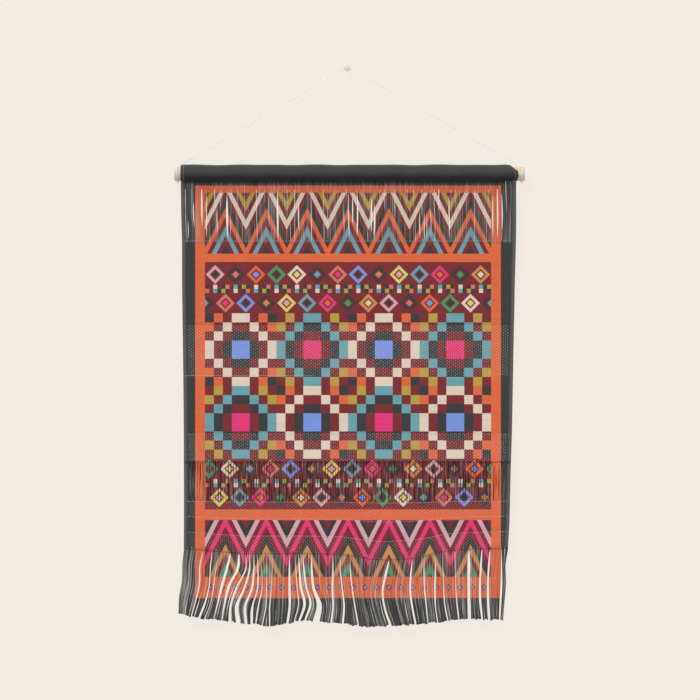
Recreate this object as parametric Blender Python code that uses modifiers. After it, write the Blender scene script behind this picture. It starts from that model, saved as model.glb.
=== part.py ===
"""A woven wall hanging: a cloth with a rod pocket, its rod, its fringe, and its cord on a pin in the wall.

Metres, +Z up. The origin is the middle of the pin's back face, the wall is Y = 0, and the front looks to -Y.
"""

import math
import random

import bmesh
import bpy
from mathutils import Matrix, Vector

MM = 0.001
GAP = 0.0003
SHARP_ANGLE = math.radians(18)

# The rod
ROD_RADIUS = 0.0127
ROD_LENGTH = 0.624
ROD_X = 0.0043
ROD_Z = -0.189
ROD_EDGE = 0.001

# The cloth: its thickness at the thickest rows, and its pocket around the rod
CLOTH_THICK = 0.0020
POCKET_SLACK = 0.0004
POCKET_RADIUS = ROD_RADIUS + POCKET_SLACK + CLOTH_THICK / 2
WALL_GAP = 0.001
ROD_Y = -(POCKET_RADIUS + CLOTH_THICK / 2 + WALL_GAP)
POCKET_PUFF = 0.0007
POCKET_PUFF_LENGTH = 0.115
POCKET_STEPS = 20
SEAM_ANGLE = math.radians(154)
SEAM_Z = ROD_Z - 0.0156
FLAP_LENGTH = 0.014
LAYER_STEP = CLOTH_THICK + 0.0005
BODY_Y = ROD_Y - 0.0002
FLAP_Y = BODY_Y + LAYER_STEP
CLOTH_COLUMNS = 20
ROW_STEP = 0.052
BAND_STEP = 0.003

# The bands of the weave, from the seam down: where each ends, and its share of the cloth's thickness
BAND_COLUMNS = ("name", "bottom_mm", "thickness")
BANDS = (
    ("open_warp", -309, 0.55),
    ("upper_plain", -458, 0.90),
    ("upper_mesh", -549, 0.70),
    ("middle_plain", -653, 0.90),
    ("middle_mesh", -701, 0.70),
    ("corded", -772, 1.00),
    ("lower_mesh", -799, 0.70),
    ("lower_plain", -826, 0.90),
    ("hem_mesh", -854, 0.75),
)
HEM_Z = BANDS[-1][1] * MM

# The cloth's side edges, by height
EDGE_COLUMNS = ("z_mm", "left_mm", "right_mm")
EDGES = (
    (-205, -296.5, 301.0),
    (-262, -296.0, 301.5),
    (-307, -294.5, 301.0),
    (-378, -294.5, 299.0),
    (-467, -293.3, 297.2),
    (-549, -292.2, 295.6),
    (-645, -291.3, 293.8),
    (-700, -291.2, 292.0),
    (-770, -291.0, 290.3),
    (-808, -291.0, 289.4),
    (-854, -291.3, 286.8),
)

# The pocket's right end is cut askew: where it ends, by the angle round the rod from the top to the front
POCKET_LEFT = -0.2963
POCKET_END_COLUMNS = ("degrees", "right_mm")
POCKET_ENDS = ((-154, 280), (-60, 282), (0, 286), (52, 296), (72, 303.5), (110, 304.5), (154, 301.5))

# How far the hem hangs below its ends, across the width
SAG_COLUMNS = ("x_mm", "sag_mm")
SAGS = (
    (-296, 0.0),
    (-253, 3.5),
    (-218, 7.0),
    (-173, 9.8),
    (-84, 9.0),
    (-13, 10.7),
    (41, 19.6),
    (67, 21.4),
    (112, 18.7),
    (148, 12.5),
    (174, 5.3),
    (219, 1.8),
    (287, 0.0),
)
SAG_START = -0.745

# The ribs of the corded band, between two of the cloth's columns, and how far they stand out
RIBS_PER_COLUMN = 5
RIB_HEIGHT = 0.0004

# The cloth's slow waves in depth, which grow towards the hem
WAVE_DEPTH = 0.0026
WAVE_LENGTH = 0.205
WAVE_SHIFT = 0.6
SLOW_WAVE_LENGTH = 0.47

# The widest gaps between the warp threads of the open band
SLIT_COLUMNS = ("x_mm", "top_mm", "bottom_mm", "width_mm")
SLITS = (
    (-288.5, -259, -306, 2.4),
    (-274.0, -238, -285, 2.0),
    (-259.5, -208, -281, 3.6),
    (-252.0, -212, -304, 2.4),
    (-231.5, -247, -296, 2.0),
    (-215.6, -230, -302, 4.4),
    (-209.0, -252, -304, 2.2),
    (-137.5, -222, -298, 2.2),
    (-126.0, -222, -304, 3.0),
    (-86.5, -240, -290, 2.0),
    (-5.2, -226, -298, 2.0),
    (1.8, -222, -298, 2.6),
    (10.0, -226, -284, 3.8),
    (17.0, -214, -300, 3.4),
    (42.4, -231, -293, 4.0),
    (49.2, -240, -301, 3.8),
    (130.3, -255, -306, 2.2),
    (136.6, -255, -307, 2.2),
    (142.8, -255, -306, 2.2),
    (149.5, -252, -306, 2.0),
    (162.5, -212, -256, 2.0),
    (182.3, -226, -302, 2.2),
    (260.8, -223, -303, 2.6),
    (268.0, -209, -305, 4.0),
    (276.0, -222, -290, 2.0),
)
SLIT_SIDES = 6
CUT_DEPTH = 0.02
CUT_PAST_BACK = 0.0013

# The fringe: a strip under the hem, and strands that part into locks
STRIP_HEIGHT = 0.0045
STRIP_THICK = 0.0018
STRAND_PITCH = 0.0046
STRAND_GAP = 0.0006
STRAND_THICK = 0.0020
TIP_THICK = 0.0014
TIP_UNEVEN = 0.0012
STRAND_LEAN = 0.0014
LEVELS = (0.22, 0.49, 0.75, 1.0)
FRINGE_SEED = 7

# Each row is a parting: its place at the hem, how wide it opens half way and at the tips, how far down
# the strands on its right end, and how far it sways sideways at each level
LOCK_COLUMNS = ("root_mm", "mid_mm", "tip_mm", "ends_mm", "sway_1", "sway_2", "sway_3", "sway_4")
LOCKS = (
    (-291.3, 0.0, 0.0, -971, -2.6, -3.8, -8.8, -9.2),
    (-257.1, 1.8, 2.3, -977, -5.5, -6.4, -12.5, -20.5),
    (-241.1, 1.2, 2.7, -981, -2.7, -4.8, -11.6, -22.3),
    (-230.4, 1.0, 1.8, -981, -3.6, -7.5, -13.0, -23.9),
    (-208.1, 4.0, 1.0, -982, -6.2, -15.3, -22.3, -30.0),
    (-193.3, 4.4, 1.0, -984, -2.3, -18.0, -25.5, -30.5),
    (-181.3, 3.0, 5.3, -987, 0.0, -16.0, -26.2, -27.6),
    (-174.4, 3.5, 8.0, -990, 0.0, -9.1, -22.1, -19.8),
    (-166.7, 3.0, 5.3, -990, 0.0, -3.7, -15.3, -13.9),
    (-160.6, 2.5, 4.1, -990, 1.4, 0.5, -8.2, -9.6),
    (-154.4, 1.2, 2.3, -991, 1.8, 2.3, -4.1, -8.2),
    (-144.8, 0.8, 2.1, -994, 0.9, 0.9, -0.4, -6.2),
    (-133.0, 0.8, 2.1, -995, -0.9, -2.7, -5.3, -5.5),
    (-102.9, 3.9, 3.9, -990, 0.0, 0.0, 0.4, -3.6),
    (-93.1, 1.5, 2.3, -985, 1.4, 3.9, 6.2, -1.1),
    (-86.7, 4.0, 4.4, -984, 1.6, 4.1, 10.7, 1.6),
    (-78.8, 3.4, 3.6, -984, 1.8, 5.7, 13.6, 4.1),
    (-63.7, 4.4, 12.5, -987, 0.5, 3.6, 13.9, 8.5),
    (-25.5, 2.5, 3.0, -988, 0.0, -0.7, 0.0, -2.9),
    (-12.8, 2.0, 3.6, -990, 0.7, 3.9, 7.3, 5.0),
    (5.0, 2.0, 2.5, -995, 0.7, 4.5, 9.5, 14.3),
    (74.5, 3.0, 5.3, -994, -6.2, -11.6, -7.1, 2.9),
    (116.1, 3.0, 3.6, -991, -2.7, -3.7, 0.0, 5.7),
    (136.9, 1.8, 1.2, -989, 0.0, 1.1, 4.1, 7.1),
    (156.7, 2.3, 2.3, -987, 0.5, -0.4, 0.5, 4.6),
    (169.9, 1.0, 2.1, -985, 0.7, 2.0, 4.1, 9.6),
    (192.2, 1.0, 1.8, -982, 0.4, 1.2, 3.2, 6.6),
    (217.0, 4.6, 5.0, -982, 0.0, -0.2, 0.0, 1.1),
    (240.3, 3.2, 3.6, -983, -1.8, -3.6, -3.2, 0.5),
    (255.1, 3.2, 3.6, -983, -2.5, -4.3, -3.6, -1.8),
    (275.1, 2.7, 2.7, -983, 0.0, 0.0, -1.8, -3.6),
    (286.8, 0.0, 0.0, -983, -4.3, -3.9, -6.1, -8.9),
)

# The pin in the wall
PIN_HEAD_RADIUS = 0.0054
PIN_HEAD_FRONT = -0.0135
PIN_HEAD_BACK = -0.0095
PIN_DIMPLE_RADIUS = 0.0022
PIN_DIMPLE_DEPTH = 0.0008
PIN_SHANK_RADIUS = 0.0020
PIN_SIDES = 24

# The cord: one length, looped round both rod ends and laid over the pin
CORD_RADIUS = 0.00075
CORD_WRAP_RADIUS = ROD_RADIUS + GAP + CORD_RADIUS
CORD_PIN_RADIUS = PIN_SHANK_RADIUS + GAP + CORD_RADIUS
CORD_PIN_Y = -0.0055
CORD_LEFT_X = -0.3010
CORD_RIGHT_X = 0.3095
LOOP_SHIFT = 0.0020
LOOP_START = math.radians(8)
LOOP_END = math.radians(326)
LOOP_STEPS = 13
LIFT_CORNER = Vector((0.0, 0.0030, 0.0142))
LIFT_LENGTH = 0.0045
LIFT_STEPS = 4
PIN_ARC_STEPS = 8
STRAIGHT_SHARES = (0.02, 0.5, 0.98, 0.995)


def row(columns, values):
    """One row of a table, as a dictionary by column name."""
    return dict(zip(columns, values, strict=True))


def between(table, at):
    """The table's second column at a place in its first, in straight lines, held level past the ends."""
    if at <= table[0][0]:
        return table[0][1]
    for (a, low), (b, high) in zip(table, table[1:]):
        if at <= b:
            return low + (high - low) * (at - a) / (b - a)
    return table[-1][1]


def smooth(share):
    """0 to 1 with a soft start and end."""
    share = min(1.0, max(0.0, share))
    return share * share * (3 - 2 * share)


def sag(x, z):
    """How far a point of the cloth hangs below its straight row."""
    return between(SAGS, x / MM) * MM * smooth((z - SAG_START) / (HEM_Z - SAG_START))


def hem_drop(x):
    """How far the hem's lower edge hangs below HEM_Z, in the straight runs between the cloth's columns."""
    left, right = EDGES[-1][1] * MM, EDGES[-1][2] * MM
    places = [left + (right - left) * column / CLOTH_COLUMNS for column in range(CLOTH_COLUMNS + 1)]
    return between([(place, sag(place, HEM_Z)) for place in places], x)


def wave(x, z):
    """How far a point of the cloth stands off its plane, towards the wall."""
    grown = smooth((SEAM_Z - z) / (SEAM_Z - HEM_Z))
    ripple = math.sin(2 * math.pi * x / WAVE_LENGTH + WAVE_SHIFT)
    swing = math.sin(2 * math.pi * x / SLOW_WAVE_LENGTH)
    return WAVE_DEPTH * grown * (0.6 * ripple + 0.4 * swing)


def material(name, colour, roughness, metallic=0.0):
    made = bpy.data.materials.new(name)
    made.use_nodes = True
    shader = made.node_tree.nodes["Principled BSDF"]
    shader.inputs["Base Color"].default_value = (*colour, 1.0)
    shader.inputs["Roughness"].default_value = roughness
    shader.inputs["Metallic"].default_value = metallic
    return made


def add_object(name, data, finish, collection):
    made = bpy.data.objects.new(name, data)
    if finish:
        made.data.materials.append(finish)
    collection.objects.link(made)
    return made


def add_bmesh(name, shape, finish, collection, smooth_below=None):
    mesh = bpy.data.meshes.new(name)
    shape.to_mesh(mesh)
    shape.free()
    if smooth_below:
        mesh.shade_smooth()
        mesh.set_sharp_from_angle(angle=smooth_below)
    return add_object(name, mesh, finish, collection)


def make_rod(parts):
    shape = bmesh.new()
    turned = Matrix.Rotation(math.radians(90), 4, "Y")
    bmesh.ops.create_cone(
        shape,
        cap_ends=True,
        segments=28,
        radius1=ROD_RADIUS,
        radius2=ROD_RADIUS,
        depth=ROD_LENGTH,
        matrix=turned,
    )
    wood = material("pale_wood", (0.72, 0.55, 0.38), 0.55)
    rod = add_bmesh("rod", shape, wood, parts, SHARP_ANGLE)
    rod.location = (ROD_X, ROD_Y, ROD_Z)
    bevel = rod.modifiers.new("softened ends", "BEVEL")
    bevel.width = ROD_EDGE
    bevel.segments = 2
    bevel.limit_method = "ANGLE"
    return rod


def pocket_rows():
    """Rows (y, z, left, right, thickness) from the flap's end, round the back, top and front of the rod."""
    plain = BANDS[1][2]
    flap_right = POCKET_ENDS[0][1] * MM
    rows = [
        (FLAP_Y, SEAM_Z - FLAP_LENGTH, POCKET_LEFT, flap_right, plain),
        (FLAP_Y, SEAM_Z, POCKET_LEFT, flap_right, plain),
    ]
    for step in range(POCKET_STEPS + 1):
        angle = SEAM_ANGLE * (2 * step / POCKET_STEPS - 1)
        right = between(POCKET_ENDS, math.degrees(angle)) * MM
        y = ROD_Y - POCKET_RADIUS * math.sin(angle)
        z = ROD_Z + POCKET_RADIUS * math.cos(angle)
        rows.append((y, z, POCKET_LEFT, right, plain))
    return rows


def body_rows():
    """Rows (y, z, left, right, thickness) from the seam down to the hem."""
    lefts = [(-row(EDGE_COLUMNS, e)["z_mm"], row(EDGE_COLUMNS, e)["left_mm"]) for e in EDGES]
    rights = [(-row(EDGE_COLUMNS, e)["z_mm"], row(EDGE_COLUMNS, e)["right_mm"]) for e in EDGES]
    rows, top = [], SEAM_Z
    for values in BANDS:
        band = row(BAND_COLUMNS, values)
        bottom = band["bottom_mm"] * MM
        first = top if top == SEAM_Z else top - BAND_STEP / 2
        last = bottom if bottom == HEM_Z else bottom + BAND_STEP / 2
        count = max(1, round((first - last) / ROW_STEP))
        for step in range(count + 1):
            z = first + (last - first) * step / count
            left, right = (between(side, -z / MM) * MM for side in (lefts, rights))
            rows.append((BODY_Y, z, left, right, band["thickness"]))
        top = bottom
    return rows


def row_number(vert, rows):
    """The row that a point of the flat grid, from y = 1 down to -1, belongs to."""
    return round((1 - vert.co.y) / 2 * (len(rows) - 1))


def corded_rows(rows):
    """The numbers of the corded band's rows: it is the thickest."""
    return [number for number, (*_, thickness) in enumerate(rows) if thickness == 1.0]


def split_for_ribs(shape, rows):
    """Cuts the flat grid upright on each crest and furrow, from the row above the corded band to the one below."""
    corded = corded_rows(rows)
    cut = range(min(corded) - 1, max(corded) + 2)
    across = []
    for edge in shape.edges:
        first, second = (row_number(vert, rows) for vert in edge.verts)
        if first == second and first in cut:
            across.append(edge)
    bmesh.ops.subdivide_edges(shape, edges=across, cuts=2 * RIBS_PER_COLUMN - 1, use_grid_fill=True)


def rib(across):
    """How far a point of the corded band stands out, by its share of the width: furrows on even steps."""
    step = round(across * CLOTH_COLUMNS * 2 * RIBS_PER_COLUMN)
    return RIB_HEIGHT if step % 2 else -RIB_HEIGHT / 2


def make_cloth(parts, cutters):
    """One cloth: a grid laid along its rows, given its thickness, with the open band's widest gaps cut through."""
    pocket, body = pocket_rows(), body_rows()
    rows = pocket + body
    shape = bmesh.new()
    bmesh.ops.create_grid(shape, x_segments=CLOTH_COLUMNS, y_segments=len(rows) - 1, size=1.0)
    split_for_ribs(shape, rows)
    corded = corded_rows(rows)
    weights = shape.verts.layers.deform.verify()
    for vert in shape.verts:
        across = (vert.co.x + 1) / 2
        number = row_number(vert, rows)
        y, z, left, right, thickness = rows[number]
        x = left + (right - left) * across
        if number >= len(pocket):
            stands_out = rib(across) if number in corded else 0.0
            vert.co = Vector((x, y + wave(x, z) - stands_out, z - sag(x, z)))
        else:
            out = Vector((0, y - ROD_Y, z - ROD_Z)).normalized()
            puff = POCKET_PUFF * (0.5 - 0.5 * math.cos(2 * math.pi * x / POCKET_PUFF_LENGTH))
            lift = puff if out.y < 0 and number > 1 else 0.0
            vert.co = Vector((x, y, z)) + out * lift
        vert[weights][0] = thickness
    shape.normal_update()
    finish = material("printed_cloth", (0.33, 0.09, 0.08), 0.85)
    cloth = add_bmesh("cloth", shape, finish, parts, SHARP_ANGLE)
    cloth.vertex_groups.new(name="thickness")
    solid = cloth.modifiers.new("thickness", "SOLIDIFY")
    solid.thickness = CLOTH_THICK
    solid.offset = 0.0
    solid.vertex_group = "thickness"
    solid.use_even_offset = True

    slits = bmesh.new()
    for values in SLITS:
        slit = row(SLIT_COLUMNS, values)
        top, bottom = slit["top_mm"] * MM, slit["bottom_mm"] * MM
        y = BODY_Y + CUT_PAST_BACK - CUT_DEPTH / 2
        place = (
            Matrix.Translation((slit["x_mm"] * MM, y, (top + bottom) / 2))
            @ Matrix.Rotation(math.radians(90), 4, "X")
            @ Matrix.Diagonal((slit["width_mm"] * MM / 2, (top - bottom) / 2, 1, 1))
            @ Matrix.Rotation(math.radians(90), 4, "Z")
        )
        bmesh.ops.create_cone(
            slits,
            cap_ends=True,
            segments=SLIT_SIDES,
            radius1=1.0,
            radius2=1.0,
            depth=CUT_DEPTH,
            matrix=place,
        )
    cutter = add_bmesh("slit_cutter", slits, None, cutters)
    cutter.display_type = "WIRE"
    cutter.hide_render = True
    cut = cloth.modifiers.new("gaps in the open warp", "BOOLEAN")
    cut.operation = "DIFFERENCE"
    cut.object = cutter
    cloth.modifiers.new("shading by the large faces", "WEIGHTED_NORMAL").keep_sharp = True
    return cloth


def locks():
    """The locks from left to right, each with the partings on its two sides and its number of strands."""
    partings = [row(LOCK_COLUMNS, values) for values in LOCKS]
    found = []
    for left, right in zip(partings, partings[1:]):
        at_root = right["root_mm"] - left["root_mm"]
        opened = (right["tip_mm"] + left["tip_mm"]) / 2
        at_tip = at_root + right["sway_4"] - left["sway_4"] - opened
        count = max(1, round((at_root + at_tip) / 2 * MM / STRAND_PITCH))
        found.append((left, right, count))
    return found


def bank(parting, number, side):
    """The x of one bank of a parting at one of the fringe's levels, side +1 for its right bank."""
    middle, tip = parting["mid_mm"], parting["tip_mm"]
    opened = (0.7 * middle, middle, (middle + tip) / 2, tip)[number]
    return (parting["root_mm"] + parting[f"sway_{number + 1}"] + side * opened / 2) * MM


def strip(cells):
    """The strip that holds the roots: a box sliced into a cell for each strand, set to the hem's sag and wave."""
    top = HEM_Z - GAP
    shape = bmesh.new()
    bmesh.ops.create_cube(shape, size=1.0)
    for vert in shape.verts:
        vert.co.x = (LOCKS[0][0] if vert.co.x < 0 else LOCKS[-1][0]) * MM
        vert.co.y = BODY_Y + vert.co.y * STRIP_THICK
        vert.co.z = top if vert.co.z > 0 else top - STRIP_HEIGHT
    for cell in cells[1:]:
        everything = shape.verts[:] + shape.edges[:] + shape.faces[:]
        bmesh.ops.bisect_plane(shape, geom=everything, plane_co=(cell["root_x"], 0, 0), plane_no=(1, 0, 0))
    shape.normal_update()
    roots = [face for face in shape.faces if face.normal.z < -0.9]
    bmesh.ops.inset_individual(shape, faces=roots, thickness=STRAND_GAP / 2, use_even_offset=True)
    for vert in shape.verts:
        vert.co.y += wave(vert.co.x, HEM_Z)
        vert.co.z -= hem_drop(vert.co.x)
    return shape, roots


def strand_cells():
    """Each strand's partings, its share of the lock, its lean, and how far it ends from its neighbours."""
    draw = random.Random(FRINGE_SEED)
    cells = []
    for left, right, count in locks():
        for number in range(count):
            low = number / count
            root_x = (left["root_mm"] + (right["root_mm"] - left["root_mm"]) * low) * MM
            cell = {"left": left, "right": right, "low": low, "high": low + 1 / count, "root_x": root_x}
            cell["lean"] = draw.uniform(-STRAND_LEAN, STRAND_LEAN)
            cell["end_by"] = draw.uniform(-TIP_UNEVEN, TIP_UNEVEN)
            cells.append(cell)
    return cells


def set_ring(face, cell, number):
    """Puts the four corners of a strand's end where the strand is at one level."""
    left, right = cell["left"], cell["right"]
    a, b = bank(left, number, 1), bank(right, number, -1)
    low = a + (b - a) * cell["low"] + STRAND_GAP / 2
    high = a + (b - a) * cell["high"] - STRAND_GAP / 2
    root = HEM_Z - GAP - STRIP_HEIGHT - hem_drop(cell["root_x"])
    tip = (left["ends_mm"] + (right["ends_mm"] - left["ends_mm"]) * cell["low"]) * MM + cell["end_by"]
    share = LEVELS[number]
    thick = STRAND_THICK + (TIP_THICK - STRAND_THICK) * share
    y = BODY_Y + wave(cell["root_x"], HEM_Z) + cell["lean"] * share
    middle = face.calc_center_median()
    for vert in face.verts:
        x = low if vert.co.x < middle.x else high
        depth = -thick / 2 if vert.co.y < middle.y else thick / 2
        vert.co = Vector((x, y + depth, root + (tip - root) * share))


def make_fringe(parts):
    """The fringe: the strip's lower faces drawn down level by level, one strand for each."""
    cells = strand_cells()
    shape, ends = strip(cells)
    for number in range(len(LEVELS)):
        ends = bmesh.ops.extrude_discrete_faces(shape, faces=ends)["faces"]
        ends.sort(key=lambda face: face.calc_center_median().x)
        for face, cell in zip(ends, cells, strict=True):
            set_ring(face, cell, number)
    yarn = material("printed_yarn", (0.45, 0.16, 0.10), 0.9)
    return add_bmesh("fringe", shape, yarn, parts)


def loop_points(x, outward):
    """The cord's loop round a rod end, from its end at the top, forward, under and up the back, to its lift-off."""
    points = []
    for step in range(LOOP_STEPS + 1):
        share = step / LOOP_STEPS
        angle = LOOP_START + (LOOP_END - LOOP_START) * share
        y = ROD_Y - CORD_WRAP_RADIUS * math.sin(angle)
        z = ROD_Z + CORD_WRAP_RADIUS * math.cos(angle)
        points.append(Vector((x + outward * LOOP_SHIFT * (1 - share), y, z)))
    corner = Vector((x, ROD_Y, ROD_Z)) + LIFT_CORNER
    pin = Vector((outward * CORD_PIN_RADIUS / 2, CORD_PIN_Y, CORD_PIN_RADIUS))
    lifted = corner + (pin - corner).normalized() * LIFT_LENGTH
    start = points[-1]
    for step in range(1, LIFT_STEPS + 1):
        share = step / LIFT_STEPS
        points.append(start.lerp(corner, share).lerp(corner.lerp(lifted, share), share))
    return points


def cord_route():
    """The cord's points from the left loop over the pin to the right loop."""
    left = loop_points(CORD_LEFT_X, -1)
    right = loop_points(CORD_RIGHT_X, 1)
    rise = [math.atan2(CORD_PIN_RADIUS - end[-1].z, abs(end[-1].x)) for end in (left, right)]
    over = []
    for step in range(PIN_ARC_STEPS + 1):
        angle = -rise[0] + (rise[0] + rise[1]) * step / PIN_ARC_STEPS
        x, z = CORD_PIN_RADIUS * math.sin(angle), CORD_PIN_RADIUS * math.cos(angle)
        over.append(Vector((x, CORD_PIN_Y, z)))
    left += [left[-1].lerp(over[0], share) for share in STRAIGHT_SHARES]
    right += [right[-1].lerp(over[-1], share) for share in STRAIGHT_SHARES]
    return left + over + right[::-1]


def make_cord(parts):
    route = cord_route()
    curve = bpy.data.curves.new("hanging_cord", "CURVE")
    curve.dimensions = "3D"
    curve.bevel_depth = CORD_RADIUS
    curve.bevel_resolution = 2
    curve.use_fill_caps = True
    line = curve.splines.new("POLY")
    line.points.add(len(route) - 1)
    for point, place in zip(line.points, route, strict=True):
        point.co = (*place, 1.0)
    return add_object("hanging_cord", curve, material("white_cord", (0.88, 0.87, 0.83), 0.8), parts)


def make_pin(parts):
    """The pin: a turned button head with a dimple, on a shank that ends flat at the wall."""
    front, back = -PIN_HEAD_FRONT, -PIN_HEAD_BACK
    profile = (
        (0.0, front - PIN_DIMPLE_DEPTH),
        (0.5 * PIN_DIMPLE_RADIUS, front - 0.8 * PIN_DIMPLE_DEPTH),
        (PIN_DIMPLE_RADIUS, front),
        (0.72 * PIN_HEAD_RADIUS, front - 0.0001),
        (0.93 * PIN_HEAD_RADIUS, front - 0.0008),
        (PIN_HEAD_RADIUS, front - 0.0020),
        (0.95 * PIN_HEAD_RADIUS, back + 0.0008),
        (0.75 * PIN_HEAD_RADIUS, back),
        (PIN_SHANK_RADIUS, back),
        (PIN_SHANK_RADIUS, 0.0),
        (0.0, 0.0),
    )
    shape = bmesh.new()
    points = [shape.verts.new((radius, 0.0, out)) for radius, out in profile]
    for first, second in zip(points, points[1:]):
        shape.edges.new((first, second))
    pin = add_bmesh("wall_pin", shape, material("pale_pin", (0.70, 0.62, 0.50), 0.45), parts)
    pin.rotation_euler.x = math.radians(90)
    turned = pin.modifiers.new("turned", "SCREW")
    turned.steps = PIN_SIDES
    turned.render_steps = PIN_SIDES
    turned.use_merge_vertices = True
    turned.merge_threshold = 0.00001
    turned.use_smooth_shade = True
    return pin


def main():
    for thing in list(bpy.data.objects):
        bpy.data.objects.remove(thing)
    parts = bpy.data.collections.new("wall_hanging")
    cutters = bpy.data.collections.new("cutters")
    for collection in (parts, cutters):
        bpy.context.scene.collection.children.link(collection)
    make_rod(parts)
    make_cloth(parts, cutters)
    make_fringe(parts)
    make_cord(parts)
    make_pin(parts)


main()
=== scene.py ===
# %% [markdown]
# # A woven wall hanging
#
# The real thing is a flat cotton cloth, woven in bands of different density and printed afterwards. Its top
# edge is folded round a wooden rod, its warp ends hang below the hem as a fringe, and a thin cord carries
# the rod on a pin. We build it yarn by yarn where the yarns show, and as a relief where the weave is
# closed, because that is what a close look at such a cloth finds. Everything is in metres, in the frame of
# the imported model: +Z is up, the wall is the plane Y = 0, and the front looks to -Y.

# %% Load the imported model
import math
import random

import bmesh
import bpy
import numpy as np
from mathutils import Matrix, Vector
from mathutils.kdtree import KDTree


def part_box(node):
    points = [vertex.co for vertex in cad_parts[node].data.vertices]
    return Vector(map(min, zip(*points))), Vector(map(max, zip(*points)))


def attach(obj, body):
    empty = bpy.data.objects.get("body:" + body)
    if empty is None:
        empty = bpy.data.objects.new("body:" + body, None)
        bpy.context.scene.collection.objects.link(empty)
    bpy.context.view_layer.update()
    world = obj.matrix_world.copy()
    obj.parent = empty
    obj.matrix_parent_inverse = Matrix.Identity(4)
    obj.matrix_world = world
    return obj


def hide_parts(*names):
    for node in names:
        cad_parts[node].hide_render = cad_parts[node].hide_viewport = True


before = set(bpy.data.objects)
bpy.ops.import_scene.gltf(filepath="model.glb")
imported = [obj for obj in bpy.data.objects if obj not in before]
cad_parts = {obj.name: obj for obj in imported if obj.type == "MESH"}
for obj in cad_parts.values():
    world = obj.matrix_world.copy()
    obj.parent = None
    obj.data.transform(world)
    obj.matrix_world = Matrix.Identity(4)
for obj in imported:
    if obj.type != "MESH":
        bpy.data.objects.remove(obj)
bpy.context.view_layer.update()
bpy.ops.object.select_all(action="DESELECT")
scene = bpy.context.scene
scene.view_settings.view_transform = "Standard"

# %% [markdown]
# ## Camera
#
# The photograph looks straight at the wall from far away, so upright lines stay upright. A long lens on a
# distant camera gives the same look. The picture is square, and the lens follows from how much of the wall
# it shows.

# %% Camera
PICTURE_WIDTH = 1.248
PICTURE_CENTRE = Vector((0.0050, -0.0165, -0.5028))
CAMERA_DISTANCE = 4.5
SENSOR = 36.0

camera_place = PICTURE_CENTRE - Vector((0, CAMERA_DISTANCE, 0))
bpy.ops.object.camera_add(location=camera_place, rotation=(math.pi / 2, 0, 0))
camera = bpy.context.object
camera.data.sensor_width = SENSOR
camera.data.lens = SENSOR * CAMERA_DISTANCE / PICTURE_WIDTH
scene.camera = camera
print("the lens is", round(camera.data.lens), "mm")

# %% [markdown]
# ## Helpers for curves, meshes and selections
#
# A yarn or a cord is a line with a thickness, so it starts as a curve. Its cross-section is a waisted
# outline, like two strands laid side by side. Turning that outline as it runs along the line lays the
# strands round each other, as a ropemaker would, and the ridges catch the light. The curve is then made a
# mesh.

# %% Helpers for selecting and finishing
MERGE = 0.00002


def pick_only(obj):
    """Makes obj the one selected and active object."""
    bpy.ops.object.select_all(action="DESELECT")
    obj.select_set(True)
    bpy.context.view_layer.objects.active = obj


def name_it(name):
    """Names the object that an operator has just added."""
    obj = bpy.context.object
    obj.name = name
    obj.data.name = name
    return obj


def thicken(obj, thickness):
    """Gives an open sheet its thickness, inwards from its front."""
    solid = obj.modifiers.new("thickness", "SOLIDIFY")
    solid.thickness = thickness
    solid.offset = -1.0
    pick_only(obj)
    bpy.ops.object.modifier_apply(modifier=solid.name)


def place_in_mesh(obj):
    """Moves the object's place, turn and scale into its mesh."""
    pick_only(obj)
    bpy.ops.object.transform_apply(location=True, rotation=True, scale=True)


def close_up(obj):
    """Merges doubled points and turns the faces outwards."""
    pick_only(obj)
    bpy.ops.object.mode_set(mode="EDIT")
    bpy.ops.mesh.select_all(action="SELECT")
    bpy.ops.mesh.remove_doubles(threshold=MERGE)
    bpy.ops.mesh.normals_make_consistent(inside=False)
    bpy.ops.object.mode_set(mode="OBJECT")


def smooth_by(obj, degrees):
    pick_only(obj)
    bpy.ops.object.shade_smooth_by_angle(angle=math.radians(degrees))


def pick_faces(obj, wanted):
    """In edit mode, selects the faces that the test wants, and only those."""
    bpy.ops.mesh.select_mode(type="FACE")
    bpy.ops.mesh.select_all(action="DESELECT")
    shape = bmesh.from_edit_mesh(obj.data)
    for face in shape.faces:
        face.select_set(bool(wanted(face)))
    bmesh.update_edit_mesh(obj.data)


def points_of(obj):
    """The mesh's points as an array with one row each."""
    flat = np.empty(len(obj.data.vertices) * 3)
    obj.data.vertices.foreach_get("co", flat)
    return flat.reshape(-1, 3)


def set_points(obj, points):
    obj.data.vertices.foreach_set("co", np.asarray(points).ravel())
    obj.data.update()


def store(obj, name, values):
    """Keeps one number for each point, for a finish to read."""
    obj.data.attributes.new(name, "FLOAT", "POINT").data.foreach_set("value", values)


def map_weave(obj, warps, wefts):
    """Writes each point's place in the weave into the piece's own map."""
    weave_map = obj.data.uv_layers[0]
    weave_map.name = "weave"
    corners = np.empty(len(obj.data.loops), int)
    obj.data.loops.foreach_get("vertex_index", corners)
    weave_map.data.foreach_set("uv", np.column_stack([warps, wefts])[corners].ravel())


def tell(obj):
    """Prints how many triangles a finished piece has."""
    obj.data.calc_loop_triangles()
    print(f"{obj.name}: {len(obj.data.loop_triangles)} triangles")


# %% Helpers for yarns and cords
def strand_outline(name, waist, sides):
    """A closed outline of radius 1. A waist of 1 makes it round, and 0.5 makes two strands side by side."""
    data = bpy.data.curves.new(name, "CURVE")
    line = data.splines.new("POLY")
    line.points.add(sides - 1)
    for number, point in enumerate(line.points):
        angle = 2 * math.pi * number / sides
        radius = waist + (1 - waist) * math.cos(angle) ** 2
        point.co = (radius * math.cos(angle), radius * math.sin(angle), 0.0, 1.0)
    line.use_cyclic_u = True
    outline = bpy.data.objects.new(name, data)
    scene.collection.objects.link(outline)
    return outline


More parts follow.
